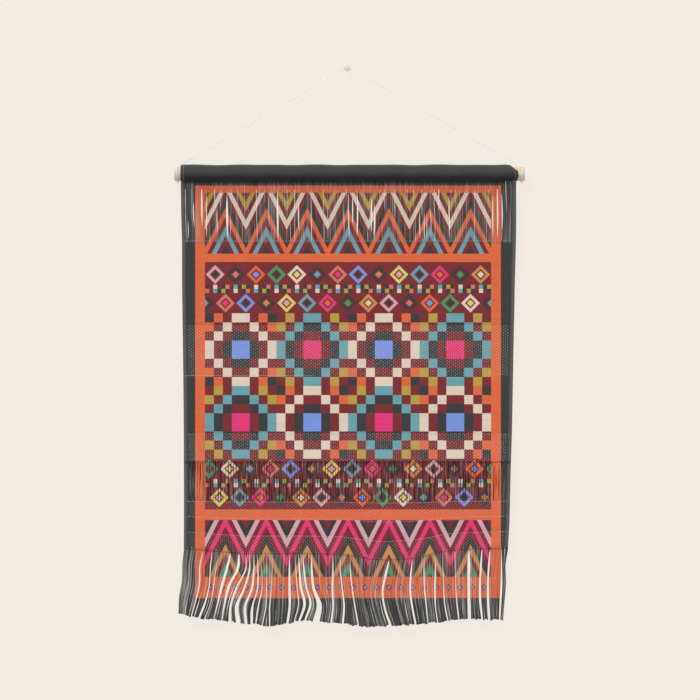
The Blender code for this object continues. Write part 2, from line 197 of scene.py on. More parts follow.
def distance_along(points):
    """How far along a line each of its points lies."""
    steps = np.linalg.norm(np.diff(np.asarray(points, float), axis=0), axis=1)
    return np.concatenate([[0.0], np.cumsum(steps)])


def even_yarn(points, radius):
    """A line of one thickness, as laid_yarns takes it."""
    return points, np.full(len(points), radius), 0.0


def laid_yarns(name, lines, outline, lay=None):
    """One mesh of yarns. Each line is (points, radii, first turn), and lay is the length of a full turn."""
    data = bpy.data.curves.new(name, "CURVE")
    data.dimensions = "3D"
    data.bevel_mode = "OBJECT"
    data.bevel_object = outline
    data.use_fill_caps = True
    for points, radii, turn in lines:
        spline = data.splines.new("POLY")
        spline.points.add(len(points) - 1)
        spline.points.foreach_set("co", np.column_stack([points, np.ones(len(points))]).ravel())
        spline.points.foreach_set("radius", np.asarray(radii, float))
        turns = distance_along(points) / lay if lay else np.zeros(len(points))
        spline.points.foreach_set("tilt", turn + turns * 2 * math.pi)
    obj = bpy.data.objects.new(name, data)
    scene.collection.objects.link(obj)
    pick_only(obj)
    bpy.ops.object.convert(target="MESH")
    close_up(obj)
    smooth_by(obj, 60)
    return obj


def hang_straight(obj, lines):
    """Stores where each point would be if its yarn hung straight down, for streaks that follow the yarn."""
    centres = np.concatenate([points for points, _, _ in lines])
    starts = np.concatenate([np.tile(points[0], (len(points), 1)) for points, _, _ in lines])
    nearest = KDTree(len(centres))
    for number, centre in enumerate(centres):
        nearest.insert(centre, number)
    nearest.balance()
    places = points_of(obj)
    found = np.array([nearest.find(place)[1] for place in places])
    places[:, :2] += starts[found, :2] - centres[found, :2]
    straight = obj.data.attributes.new("straight", "FLOAT_VECTOR", "POINT")
    straight.data.foreach_set("vector", places.ravel())


def along_line(points, step):
    """The same line with points a step apart."""
    along = distance_along(points)
    count = max(2, round(along[-1] / step) + 1)
    at = np.linspace(0.0, along[-1], count)
    return np.column_stack([np.interp(at, along, points[:, axis]) for axis in range(3)])


def between(table, at):
    """Values of the table's second column at places in its first, in straight lines."""
    table = np.asarray(table, float)
    return np.interp(at, table[:, 0], table[:, 1])


def smooth(share):
    """0 to 1 with a soft start and end."""
    share = np.clip(share, 0.0, 1.0)
    return share * share * (3 - 2 * share)


def pushed_aside(x, slits, reach):
    """How far slits, each given as (x, how far open), push a thread sideways. It fades with distance."""
    total = 0.0
    for slit_x, opened in slits:
        total = total + math.copysign(1.0, x - slit_x) * opened / 2 * math.exp(-abs(x - slit_x) / reach)
    return total


# %% [markdown]
# ## The hanging cord
#
# The cord is one thin length of white cotton. It is tied round one end of the rod, runs up over the pin and
# down to the other end. It carries the whole weight, so it is straight between rod and pin. The route
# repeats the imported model's: a loop round each rod end, a lift-off at the inner side of the rod, and a
# short arc on the pin.

# %% The cord's route
MM = 0.001
rod_low, rod_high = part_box("rod")
ROD_RADIUS = (rod_high.z - rod_low.z) / 2
ROD_Y = (rod_low.y + rod_high.y) / 2
ROD_Z = (rod_low.z + rod_high.z) / 2
CORD_RADIUS = 0.00075
CORD_GAP = 0.0003
WRAP_RADIUS = ROD_RADIUS + CORD_GAP + CORD_RADIUS
PIN_SHANK_RADIUS = 0.0020
OVER_PIN_RADIUS = PIN_SHANK_RADIUS + CORD_GAP + CORD_RADIUS
OVER_PIN_Y = -0.0055
LOOP_X = {-1: -0.3010, 1: 0.3095}
LOOP_SHIFT = 0.0020
LOOP_ANGLES = (8, 326)
LIFT_CORNER = np.array([0.0, 0.0030, 0.0142])
LIFT_LENGTH = 0.0045
CORD_STEP = 0.0011
CORD_LAY = 0.0045
LOOP_POINTS = 40
LIFT_POINTS = 8
PIN_ARC_POINTS = 12


def loop_route(side):
    """The cord round one rod end, from its tied end forward, under and up the back, and its lift-off."""
    x = LOOP_X[side]
    share = np.linspace(0, 1, LOOP_POINTS)
    angle = np.radians(LOOP_ANGLES[0] + (LOOP_ANGLES[1] - LOOP_ANGLES[0]) * share)
    loop = np.column_stack([
        x + side * LOOP_SHIFT * (1 - share),
        ROD_Y - WRAP_RADIUS * np.sin(angle),
        ROD_Z + WRAP_RADIUS * np.cos(angle),
    ])
    corner = np.array([x, ROD_Y, ROD_Z]) + LIFT_CORNER
    pin = np.array([side * OVER_PIN_RADIUS / 2, OVER_PIN_Y, OVER_PIN_RADIUS])
    lifted = corner + (pin - corner) / np.linalg.norm(pin - corner) * LIFT_LENGTH
    bend = np.linspace(0, 1, LIFT_POINTS)[1:, None]
    start = loop[-1]
    lift = (start * (1 - bend) + corner * bend) * (1 - bend) + (corner * (1 - bend) + lifted * bend) * bend
    return np.concatenate([loop, lift])


left_route, right_route = loop_route(-1), loop_route(1)
left_slope, right_slope = (
    math.atan2(OVER_PIN_RADIUS - route[-1][2], abs(route[-1][0])) for route in (left_route, right_route)
)
arc_angles = np.linspace(-left_slope, right_slope, PIN_ARC_POINTS)
pin_arc = np.column_stack([
    OVER_PIN_RADIUS * np.sin(arc_angles),
    np.full(len(arc_angles), OVER_PIN_Y),
    OVER_PIN_RADIUS * np.cos(arc_angles),
])
cord_route = along_line(np.concatenate([left_route, pin_arc, right_route[::-1]]), CORD_STEP)

# %% Lay the cord and tie its knots
KNOT_SIZE = 0.0018
KNOT_DROP = 0.0006
KNOT_FORWARD = 0.0040
KNOT_DEPTH = 1.1
KNOT_STEPS = 44

two_strands = strand_outline("two_strands", 0.90, 8)
two_flat = strand_outline("two_flat", 0.62, 8)
hanging_cord = laid_yarns("hanging_cord_laid", [even_yarn(cord_route, CORD_RADIUS)], two_strands, CORD_LAY)


def knot_route(centre):
    """A trefoil, the line of a simple overhand knot, drawn up tight."""
    turn = np.linspace(0, 2 * math.pi, KNOT_STEPS)
    x = np.sin(turn) + 2 * np.sin(2 * turn)
    y = np.cos(turn) - 2 * np.cos(2 * turn)
    depth = -np.sin(3 * turn) * KNOT_DEPTH
    return centre + np.column_stack([x, depth, y]) * KNOT_SIZE / 3


knots = []
for side, label in ((-1, "left"), (1, "right")):
    x = LOOP_X[side] + side * LOOP_SHIFT / 2
    line = knot_route(np.array([x, ROD_Y - KNOT_FORWARD, ROD_Z - WRAP_RADIUS - KNOT_DROP]))
    knots.append(laid_yarns(f"knot_{label}", [even_yarn(line, CORD_RADIUS)], two_strands, CORD_LAY))

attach(hanging_cord, "root")
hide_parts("hanging_cord")
for piece in [hanging_cord, *knots]:
    tell(piece)
for knot in knots:
    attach(knot, "root")

# %% [markdown]
# ## The rod and the pin
#
# The rod is a plain dowel, sawn square and sanded, so its edges get a small bevel. Setting a face's select
# flag and then flushing, in vertex mode, takes in more than the two rims: it also reaches most of the long
# edges, which rounds the side a little more, and it misses a short stretch of the right rim at the back.
# The pin is a small turned button with a slightly domed face, so its end faces are bevelled, inset and
# pushed. Both are cylinders shaped in edit mode.

# %% The rod
ROD_SIDES = 72
ROD_EDGE = 0.0011

rod_length = rod_high.x - rod_low.x
rod_centre = ((rod_low.x + rod_high.x) / 2, ROD_Y, ROD_Z)
bpy.ops.mesh.primitive_cylinder_add(
    vertices=ROD_SIDES,
    radius=ROD_RADIUS,
    depth=rod_length,
    location=rod_centre,
    rotation=(0, math.pi / 2, 0),
)
rod = name_it("wooden_rod")
place_in_mesh(rod)
bpy.ops.object.mode_set(mode="EDIT")
bpy.ops.mesh.select_all(action="DESELECT")
shape = bmesh.from_edit_mesh(rod.data)
for face in shape.faces:
    face.select = len(face.verts) == ROD_SIDES
shape.select_flush_mode()
bmesh.update_edit_mesh(rod.data)
bpy.ops.mesh.bevel(offset=ROD_EDGE, segments=4, affect="EDGES")
bpy.ops.object.mode_set(mode="OBJECT")
smooth_by(rod, 40)
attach(rod, "root")
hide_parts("rod")
tell(rod)

# %% The pin
PIN_SIDES = 40
pin_low, pin_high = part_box("wall_pin")
PIN_HEAD_RADIUS = (pin_high.z - pin_low.z) / 2
PIN_HEAD_DEPTH = 0.0040
PIN_EDGE = 0.0010
PIN_DOME = ((0.0013, 0.0002), (0.0012, 0.0001))  # inset, rise

bpy.ops.mesh.primitive_cylinder_add(
    vertices=PIN_SIDES,
    radius=PIN_HEAD_RADIUS,
    depth=PIN_HEAD_DEPTH,
    location=(0, pin_low.y + PIN_HEAD_DEPTH / 2, 0),
    rotation=(math.pi / 2, 0, 0),
)
pin = name_it("pin_button")
place_in_mesh(pin)
bpy.ops.object.mode_set(mode="EDIT")
pick_faces(pin, lambda face: len(face.verts) == PIN_SIDES)
bpy.ops.mesh.bevel(offset=PIN_EDGE, segments=5, affect="EDGES")
pick_faces(pin, lambda face: face.normal.y < -0.9 and len(face.verts) == PIN_SIDES)
for inset, lift in PIN_DOME:
    bpy.ops.mesh.inset(thickness=inset, depth=lift)
pick_faces(pin, lambda face: face.normal.y > 0.9 and len(face.verts) == PIN_SIDES)
bpy.ops.mesh.inset(thickness=PIN_HEAD_RADIUS - PIN_EDGE - PIN_SHANK_RADIUS)
shank = pin_high.y - pin_low.y - PIN_HEAD_DEPTH
bpy.ops.mesh.extrude_region_move(TRANSFORM_OT_translate={"value": (0, shank, 0)})
bpy.ops.object.mode_set(mode="OBJECT")
close_up(pin)
smooth_by(pin, 40)
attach(pin, "root")
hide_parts("wall_pin")
tell(pin)

# %% [markdown]
# ## The cloth's plan
#
# A weaver plans a cloth in bands. Here 160 warp threads run the whole way down, and what changes from band
# to band is the weft: left out in the open band, packed tight in the plain bands, set coarse in the
# speckled ones, and left out again in the corded band, where the warps lie side by side. The cloth narrows
# a little and its hem sags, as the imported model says.

# %% The bands and the edges
WARPS = 160
COLUMNS = 2 * WARPS
WEFT_PITCH = 0.00262
SEAM_Z = ROD_Z - 0.0128
BODY_Y = ROD_Y - 0.0002
BANDS = (  # name, kind of weave, bottom in mm
    ("open_warp", "open", -309),
    ("upper_plain", "plain", -458),
    ("upper_mesh", "mesh", -549),
    ("middle_plain", "plain", -653),
    ("middle_mesh", "mesh", -701),
    ("corded", "corded", -772),
    ("lower_mesh", "mesh", -799),
    ("lower_plain", "plain", -826),
    ("hem_mesh", "mesh", -854),
)
OPEN_BOTTOM = BANDS[0][2] * MM
HEM_Z = BANDS[-1][2] * MM
STAND_OFF = {"open": 0.0006, "plain": 0.0009, "mesh": 0.0006, "corded": -0.0002}
ROW_PITCH = {"open": 0.013, "plain": 0.0085, "mesh": WEFT_PITCH / 2, "corded": 0.0085}
ROW_INSET = 0.0006

EDGES = (  # height, left edge and right edge in mm
    (-854, -291.3, 286.8),
    (-808, -291.0, 289.4),
    (-770, -291.0, 290.3),
    (-700, -291.2, 292.0),
    (-645, -291.3, 293.8),
    (-549, -292.2, 295.6),
    (-467, -293.3, 297.2),
    (-378, -294.5, 299.0),
    (-307, -294.5, 301.0),
    (-262, -296.0, 301.5),
    (-205, -296.5, 301.0),
)
SAGS = (  # place across and sag of the hem in mm
    (-296, 0.0),
    (-253, 3.5),
    (-218, 7.0),
    (-173, 9.8),
    (-84, 9.0),
    (-13, 10.7),
    (41, 19.6),
    (67, 21.4),
    (112, 18.7),
    (148, 12.5),
    (174, 5.3),
    (219, 1.8),
    (287, 0.0),
)
SAG_START = -0.745
WAVE_DEPTH = 0.0026
WAVE_LENGTH = 0.205
WAVE_SHIFT = 0.6
SLOW_WAVE_LENGTH = 0.47
LEAN = 0.0045
LEAN_REACH = 0.030


def sag(x, z):
    """How far a point of the cloth hangs below its straight row."""
    return between(SAGS, x / MM) * MM * smooth((z - SAG_START) / (HEM_Z - SAG_START))


def wave(x, z):
    """How far a point of the cloth stands off its plane, towards the wall. It leans forward to the seam."""
    grown = smooth((SEAM_Z - z) / (SEAM_Z - HEM_Z))
    lean = LEAN * (1 - smooth((SEAM_Z - z) / LEAN_REACH))
    short_wave = np.sin(2 * math.pi * x / WAVE_LENGTH + WAVE_SHIFT)
    long_wave = np.sin(2 * math.pi * x / SLOW_WAVE_LENGTH)
    return WAVE_DEPTH * grown * (0.6 * short_wave + 0.4 * long_wave) - lean


def side_edges(z):
    """The cloth's left and right edge at a height."""
    table = np.asarray(EDGES)
    left = np.interp(z / MM, table[:, 0], table[:, 1]) * MM
    right = np.interp(z / MM, table[:, 0], table[:, 2]) * MM
    return left, right


def body_rows():
    """The body's rows from the seam down, as (z, kind, wefts so far, on a weft)."""
    rows, top, wefts = [], SEAM_Z, 0.0
    for _, kind, bottom_mm in BANDS:
        bottom = bottom_mm * MM
        first, last = top - ROW_INSET, bottom + ROW_INSET
        count = max(2, round((first - last) / ROW_PITCH[kind]))
        count += count % 2
        for number in range(count + 1):
            share = number / count
            z = first + (last - first) * share
            rows.append((z, kind, wefts + (first - z) / WEFT_PITCH, number % 2 == 1))
        wefts += (first - last) / WEFT_PITCH + 0.5
        top = bottom
    return rows


rows = body_rows()
print("the body has", len(rows), "rows and", COLUMNS, "columns")

# %% [markdown]
# ## The body of the cloth
#
# The body starts as a flat grid with two columns to a warp thread and two rows to a coarse weft. Each point
# is then raised or lowered by what passes there: a warp over a weft, a weft over a warp, a valley between
# threads. In the corded band only the warps are raised. In the plain bands the weft hides them, and just a
# trace of them shows. The window of the open band is cut out, so that only the firm edges run past it.
# Solidify gives the thickness, and the back, which nobody sees up close, gives up seven of every eight
# columns.

# %% Raise the weave
CLOTH_THICK = 0.0016
WARP_OVER = 0.00052
WEFT_OVER = 0.00042
PORE = -0.00040
CORD_RIB = 0.00100
CORD_FURROW = -0.00060
RIB_COLUMNS = 2.5
WARP_TRACE = 0.00007
SELVEDGE_RISE = 0.00018
BESIDE_WARP = 0.12
BESIDE_WEFT = 0.10
SELVEDGE_COLUMNS = 4
BACK_STEP = 8
LOWER_SPECKLE = 0.6
MASKS = ("speckled", "ribbed", "selvedge")

draw = random.Random(11)
warp_shift = [draw.uniform(-0.16, 0.16) for _ in range(WARPS)]
warp_height = [draw.uniform(0.7, 1.15) for _ in range(WARPS)]


def relief(kind, column, row_number, on_weft):
    """How far a point stands out by what passes there."""
    warp, on_warp = column // 2, column % 2 == 1
    if column <= SELVEDGE_COLUMNS or column >= COLUMNS - SELVEDGE_COLUMNS:
        return SELVEDGE_RISE
    if kind == "plain":
        return WARP_TRACE * (1.0 if on_warp else -1.0)
    if kind == "corded":
        swell = math.cos(2 * math.pi * column / RIB_COLUMNS)
        return CORD_RIB * warp_height[warp] * (0.6 + 0.4 * swell) if swell > 0 else CORD_FURROW
    if kind == "open":
        return 0.0
    if on_warp and on_weft:
        return WARP_OVER * warp_height[warp] if (warp + row_number // 2) % 2 else WEFT_OVER
    if on_warp:
        return BESIDE_WARP * WARP_OVER
    return BESIDE_WEFT * WEFT_OVER if on_weft else PORE


bpy.ops.mesh.primitive_grid_add(x_subdivisions=COLUMNS, y_subdivisions=len(rows) - 1, size=1)
cloth = name_it("woven_cloth")
flat = points_of(cloth)
columns = np.rint((flat[:, 0] + 0.5) * COLUMNS).astype(int)
numbers = np.rint((0.5 - flat[:, 1]) * (len(rows) - 1)).astype(int)
heights = np.array([
    [relief(kind, column, number, on_weft) for column in range(COLUMNS + 1)]
    for number, (_, kind, _, on_weft) in enumerate(rows)
])
row_z = np.array([row[0] for row in rows])
row_wefts = np.array([row[2] for row in rows])
row_off = np.array([STAND_OFF[row[1]] for row in rows])
shifts = np.array([warp_shift[min(WARPS - 1, column // 2)] * (column % 2) for column in range(COLUMNS + 1)])
z = row_z[numbers]
left, right = side_edges(z)
x = left + (right - left) * (columns + shifts[columns]) / COLUMNS
y = BODY_Y + wave(x, z) - row_off[numbers] - heights[numbers, columns]
set_points(cloth, np.column_stack([x, y, z - sag(x, z)]))

map_weave(cloth, columns / 2, row_wefts[numbers])
from_side = np.minimum(columns, COLUMNS - columns)
for name, kind, low_down in (("speckled", "mesh", LOWER_SPECKLE), ("ribbed", "corded", 1.0)):
    strength = np.array([(row[1] == kind) * (1.0 if row[0] > SAG_START else low_down) for row in rows])
    store(cloth, name, strength[numbers] * (from_side > SELVEDGE_COLUMNS))
store(cloth, "selvedge", np.clip((SELVEDGE_COLUMNS - from_side) / 2, 0.0, 1.0))

# %% Cut the window, thicken the cloth and lighten its back
pick_only(cloth)
bpy.ops.object.mode_set(mode="EDIT")
selvedge = SELVEDGE_COLUMNS / COLUMNS


def in_window(face):
    middle = face.calc_center_median()
    low, high = side_edges(middle.z)
    share = (middle.x - low) / (high - low)
    return middle.z > OPEN_BOTTOM and selvedge < share < 1 - selvedge


pick_faces(cloth, in_window)
bpy.ops.mesh.delete(type="FACE")
bpy.ops.mesh.select_all(action="SELECT")
bpy.ops.mesh.normals_make_consistent(inside=False)
bpy.ops.object.mode_set(mode="OBJECT")
if cloth.data.polygons[len(cloth.data.polygons) // 2].normal.y > 0:
    cloth.data.flip_normals()
front_points = len(cloth.data.vertices)
column_mark = cloth.data.attributes.new("column", "INT", "POINT")
kept = points_of(cloth)
kept_left, kept_right = side_edges(kept[:, 2])
kept_columns = np.rint((kept[:, 0] - kept_left) / (kept_right - kept_left) * COLUMNS).astype(int)
column_mark.data.foreach_set("value", kept_columns)
thicken(cloth, CLOTH_THICK)

bpy.ops.object.mode_set(mode="EDIT")
bpy.ops.mesh.select_mode(type="EDGE")
bpy.ops.mesh.select_all(action="DESELECT")
shape = bmesh.from_edit_mesh(cloth.data)
mark = shape.verts.layers.int["column"]
for edge in shape.edges:
    first, second = edge.verts
    upright = first[mark] == second[mark] and first[mark] % BACK_STEP
    behind = all(vert.index >= front_points for face in edge.link_faces for vert in face.verts)
    edge.select_set(bool(upright and behind))
bmesh.update_edit_mesh(cloth.data)
bpy.ops.mesh.dissolve_edges(use_verts=True)
bpy.ops.object.mode_set(mode="OBJECT")
cloth.data.attributes.remove(cloth.data.attributes["column"])
smooth_by(cloth, 70)
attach(cloth, "root")
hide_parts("cloth")
tell(cloth)

# %% [markdown]
# ## The sleeve round the rod
#
# The top of the cloth is woven tight and folded back over the rod, and one line of stitches under the rod
# closes it. It is the same cloth, and it is modelled as a grid wrapped round the rod: rows run by the angle
# round it. The fold isn't perfectly even, so the top puffs a little here and there, and the right end is
# cut askew as in the photograph.

# %% The sleeve
SLEEVE_COLUMNS = 160
POCKET_SLACK = 0.0023
SLEEVE_RADIUS = ROD_RADIUS + POCKET_SLACK
SLEEVE_THICK = 0.0016
TOP_SLACK = 0.0012
SEAM_ANGLE = 154
SLEEVE_STEP = 7
LIP_Y = BODY_Y - 0.0030 - LEAN
LIP_RISE = 0.0002
LIP_DROP = 0.0004
LIP_FOLD = 0.0008
FLAP_LENGTH = 0.014
FLAP_SHARES = (1, 0.9, 0.5, 0.1)
FLAP_Y = BODY_Y + 0.0026
PUFF_FROM = -140
PUFF_GROWS = 60
POCKET_LEFT = -0.2963
POCKET_ENDS = (  # degrees round the rod, right end in mm
    (-154, 280), (-60, 282), (0, 286), (52, 296), (72, 303.5), (110, 304.5), (154, 301.5),
)
PUFF = 0.0007
PUFF_LENGTH = 0.115
WRINKLE = 0.0003
WRINKLE_LENGTH = 0.071
WRINKLE_TURN = 40
END_RIDGE = 0.0003
END_RIDGE_WARPS = 2.5
END_DRAW = 0.0009
END_DRAW_WARPS = 0.8

sleeve_rows = [(FLAP_Y, SEAM_Z - FLAP_LENGTH * share, -SEAM_ANGLE, 0.0) for share in FLAP_SHARES]
for degrees in range(-SEAM_ANGLE, SEAM_ANGLE, SLEEVE_STEP):
    angle = math.radians(degrees)
    radius = SLEEVE_RADIUS + TOP_SLACK * max(0.0, math.cos(angle))
    sleeve_rows.append((
        ROD_Y - radius * math.sin(angle),
        ROD_Z + radius * math.cos(angle),
        degrees,
        float(smooth((degrees - PUFF_FROM) / PUFF_GROWS)),
    ))
sleeve_rows.append((LIP_Y, SEAM_Z + LIP_RISE, SEAM_ANGLE, 0.0))
sleeve_rows.append((LIP_Y + LIP_FOLD, SEAM_Z - LIP_DROP, SEAM_ANGLE, 0.0))

bpy.ops.mesh.primitive_grid_add(x_subdivisions=SLEEVE_COLUMNS, y_subdivisions=len(sleeve_rows) - 1, size=1)
sleeve = name_it("rod_sleeve")
flat = points_of(sleeve)
across = flat[:, 0] + 0.5
numbers = np.rint((0.5 - flat[:, 1]) * (len(sleeve_rows) - 1)).astype(int)
table = np.array(sleeve_rows)[numbers]
x = POCKET_LEFT + (between(POCKET_ENDS, table[:, 2]) * MM - POCKET_LEFT) * across
outward = np.column_stack([np.zeros(len(x)), table[:, 0] - ROD_Y, table[:, 1] - ROD_Z])
outward /= np.linalg.norm(outward, axis=1)[:, None]
swell = PUFF * (0.5 - 0.5 * np.cos(2 * math.pi * x / PUFF_LENGTH))
swell += WRINKLE * np.sin(2 * math.pi * x / WRINKLE_LENGTH + table[:, 2] / WRINKLE_TURN)
from_end = np.minimum(across, 1 - across) * WARPS
swell += END_RIDGE * (from_end < END_RIDGE_WARPS) - END_DRAW * np.exp(-from_end / END_DRAW_WARPS)
place = np.column_stack([x, table[:, 0], table[:, 1]]) + outward * (swell * table[:, 3])[:, None]
set_points(sleeve, place)
sleeve_path = distance_along(np.array(sleeve_rows)[:, :2])
map_weave(sleeve, across * WARPS, sleeve_path[numbers] / WEFT_PITCH)
top_face = min(sleeve.data.polygons, key=lambda face: face.center.x**2 + face.center.z**2)
if top_face.normal.z < 0:
    sleeve.data.flip_normals()
thicken(sleeve, SLEEVE_THICK)
smooth_by(sleeve, 50)
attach(sleeve, "root")
tell(sleeve)

# %% [markdown]
# ## The free warp threads
#
# In the open band nothing holds the warps apart, so they drift into loose groups and slits open between
# them. The slits are placed where the photograph shows them. Each thread is pushed aside by the slits near
# it, with a little sway of its own, and it is laid from two strands, like the rest of the yarn.

# %% The open warp
SLITS = (  # place across, top, bottom and width in mm
    (-288.5, -259, -306, 2.4),
    (-283.9, -264, -307, 1.8),
    (-274.0, -238, -285, 2.0),
    (-259.5, -208, -281, 3.6),
    (-252.0, -212, -304, 2.4),
    (-231.5, -247, -296, 2.0),
    (-222.5, -246, -300, 1.4),
    (-215.6, -230, -302, 4.4),
    (-209.0, -252, -304, 2.2),
    (-137.5, -222, -298, 2.2),
    (-126.0, -222, -304, 3.0),
    (-86.5, -240, -290, 2.0),
    (-5.2, -226, -298, 2.0),
    (1.8, -222, -298, 2.6),
    (10.0, -226, -284, 3.8),
    (17.0, -214, -300, 3.4),
    (42.4, -231, -293, 4.0),
    (49.2, -240, -301, 3.8),
    (130.3, -255, -306, 2.2),
    (136.6, -255, -307, 2.2),
    (142.8, -255, -306, 2.2),
    (149.5, -252, -306, 2.0),
    (162.5, -212, -256, 2.0),
    (182.3, -226, -302, 2.2),
    (260.8, -223, -303, 2.6),
    (268.0, -209, -305, 4.0),
    (276.0, -222, -290, 2.0),
)
YARN_RADIUS = 0.00200
YARN_STEP = 0.0042
SLIT_REACH = 0.009
ROOT_TAPER = 0.0045
TUCK_ABOVE = 0.0006
TUCK_BELOW = 0.0035
WARP_FORWARD = 0.0003
SLIT_SHAPE = 0.7

draw = random.Random(23)
slit_table = np.array(SLITS) * MM


def open_at(z, top, bottom, width):
    """How far a slit stands open at each height."""
    return width * np.sin(math.pi * np.clip((z - bottom) / (top - bottom), 0, 1)) ** SLIT_SHAPE


def open_warp_line(warp):
    top, bottom = SEAM_Z + TUCK_ABOVE, OPEN_BOTTOM - TUCK_BELOW
    z = np.linspace(top, bottom, round((top - bottom) / YARN_STEP) + 1)
    low, high = side_edges(z)
    start = low + (high - low) * (warp + 0.5 + warp_shift[warp] / 2) / WARPS
    share = (top - z) / (top - bottom)
    swing = np.sin(math.pi * share)
    sway = draw.uniform(-0.0004, 0.0004) * swing
    sway = sway + draw.uniform(-0.0003, 0.0003) * np.sin(2 * math.pi * share)
    slits = [(slit_x, open_at(z, *slit)) for slit_x, *slit in slit_table]
    x = start + pushed_aside(start[len(start) // 2], slits, SLIT_REACH) + sway
    x[1] = x[0]
    y = BODY_Y + wave(x[0], z) - WARP_FORWARD + draw.uniform(-0.0006, 0.0006) * swing
    y[1] = y[0]
    taper = smooth(np.minimum(share, 1 - share) * (top - bottom) / ROOT_TAPER)
    radii = YARN_RADIUS * draw.uniform(0.90, 1.05) * (0.90 + 0.10 * taper)
    return np.column_stack([x, y, z]), radii, draw.uniform(-0.3, 0.3)


first_free = SELVEDGE_COLUMNS // 2
open_lines = [open_warp_line(warp) for warp in range(first_free, WARPS - first_free)]
open_warp = laid_yarns("open_warp_yarns", open_lines, two_flat)
hang_straight(open_warp, open_lines)
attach(open_warp, "root")
tell(open_warp)

# %% [markdown]
# ## The fringe
#
# The warp ends go on below the hem and part into locks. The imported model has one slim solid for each
# strand, so we read each strand's line and width from that solid: its corners at the root and at four
# levels below. A smooth line through those levels then carries a yarn of two strands, a little thicker at
# the cut end, where it frays.

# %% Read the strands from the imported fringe
FRINGE_LEVELS = 4
ROOTS_ABOVE = HEM_Z - 0.0275


def strands_from(node):
    """For each strand, its levels from root to tip as (centre, width)."""
    shape = bmesh.new()
    shape.from_mesh(node.data)
    bmesh.ops.remove_doubles(shape, verts=shape.verts, dist=MERGE)
    seen, found = set(), []
    for start in shape.verts:
        if start in seen or start.co.z > ROOTS_ABOVE:
            continue
        group, queue, roots = [], [start], set()
        seen.add(start)
        while queue:
            vert = queue.pop()
            group.append(vert)
            for edge in vert.link_edges:
                other = edge.other_vert(vert)
                if other.co.z > ROOTS_ABOVE:
                    roots.add(other)
                elif other not in seen:
                    seen.add(other)
                    queue.append(other)
        group.sort(key=lambda vert: -vert.co.z)
        levels = [list(roots)] + [group[4 * level : 4 * level + 4] for level in range(FRINGE_LEVELS)]
        found.append([level_of(verts) for verts in levels])
    shape.free()
    return found


def level_of(verts):
    places = np.array([vert.co[:] for vert in verts])
    return places.mean(axis=0), float(np.ptp(places[:, 0]))


strands = strands_from(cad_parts["fringe"])
print("the fringe has", len(strands), "strands")

# %% Lay the fringe's yarns
FRINGE_STEP = 0.0024
ROOT_BACK = 0.0010
ROOT_INSIDE = 0.0065
FRINGE_SLITS = (  # place across and width in mm
    (-253.5, 1.0),
    (-242.8, 1.0),
    (-205.9, 3.4),
    (-191.5, 3.4),
    (74.5, 2.8),
    (116.4, 1.2),
    (196.7, 1.2),
    (217.2, 3.4),
    (238.6, 1.8),
    (254.6, 1.6),
)
SNAP = 0.006
OPENS_BY = 0.0012
CLOSES_FROM = 0.012
CLOSES_BY = 0.055
FRINGE_REACH = 0.006
EASED_POINTS = 12
FRAY = 0.10
FRAY_FROM = 0.93

draw = random.Random(31)
strands.sort(key=lambda levels: levels[0][0][0])


def gap_near(x):
    """The place at the root of the widest gap between two neighbouring strands near x."""
    found = []
    for first, second in zip(strands, strands[1:]):
        middle = (first[0][0][0] + second[0][0][0]) / 2
        opened = (second[2][0][0] - first[2][0][0]) - (second[2][1] + first[2][1]) / 2
        if abs(middle - x) < SNAP:
            found.append((opened, middle))
    return max(found)[1]


slit_tops = [(gap_near(x * MM), width * MM) for x, width in FRINGE_SLITS]
print("the fringe's slits open at", [round(x, 4) for x, _ in slit_tops])


def eased_line(points, count):
    """A smooth line through a few points, by the Catmull-Rom rule."""
    points = np.asarray(points)
    ends = np.concatenate([[2 * points[0] - points[1]], points, [2 * points[-1] - points[-2]]])
    line = []
    for number in range(len(points) - 1):
        a, b, c, d = ends[number : number + 4]
        share = np.linspace(0, 1, count, endpoint=False)[:, None]
        line.append(0.5 * (
            2 * b
            + (c - a) * share
            + (2 * a - 5 * b + 4 * c - d) * share**2
            + (3 * b - a - 3 * c + d) * share**3
        ))
    return np.concatenate([*line, points[-1:]])


def fringe_line(levels):
    centres = [centre for centre, _ in levels]
    widths = np.array([width for _, width in levels])
    root = centres[0] + np.array([0, 0, ROOT_INSIDE])
    line = along_line(eased_line([root, *centres], EASED_POINTS), FRINGE_STEP)
    along = np.linspace(0, 1, len(line))
    width = np.interp(along, np.linspace(0, 1, len(widths)), widths)
    line[:, 1] += draw.uniform(-0.0005, 0.0005) * np.sin(math.pi * along)
    sway = draw.uniform(-0.0006, 0.0006)
    line[:, 0] += sway * np.sin(2 * math.pi * along * draw.uniform(0.8, 1.6)) * along
    line[:, 1] += ROOT_BACK * (1 - smooth(along * 4))
    below = np.maximum(0.0, centres[0][2] - line[:, 2])
    opened = smooth(below / OPENS_BY) * (1 - smooth((below - CLOSES_FROM) / (CLOSES_BY - CLOSES_FROM)))
    slits = [(slit_x, slit_width * opened) for slit_x, slit_width in slit_tops]
    line[:, 0] += pushed_aside(centres[0][0], slits, FRINGE_REACH)
    line[1, :2] = line[0, :2]
    line[-1, 2] -= draw.uniform(0.0, 0.0015)
    fray = 1 + FRAY * smooth((along - FRAY_FROM) / (1 - FRAY_FROM))
    radii = (width / 2 * 1.10 + 0.0001) * fray
    return line, radii, draw.uniform(-0.35, 0.35)


fringe_lines = [fringe_line(levels) for levels in strands]
fringe = laid_yarns("fringe_yarns", fringe_lines, two_flat)
hang_straight(fringe, fringe_lines)
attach(fringe, "root")
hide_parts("fringe")
tell(fringe)
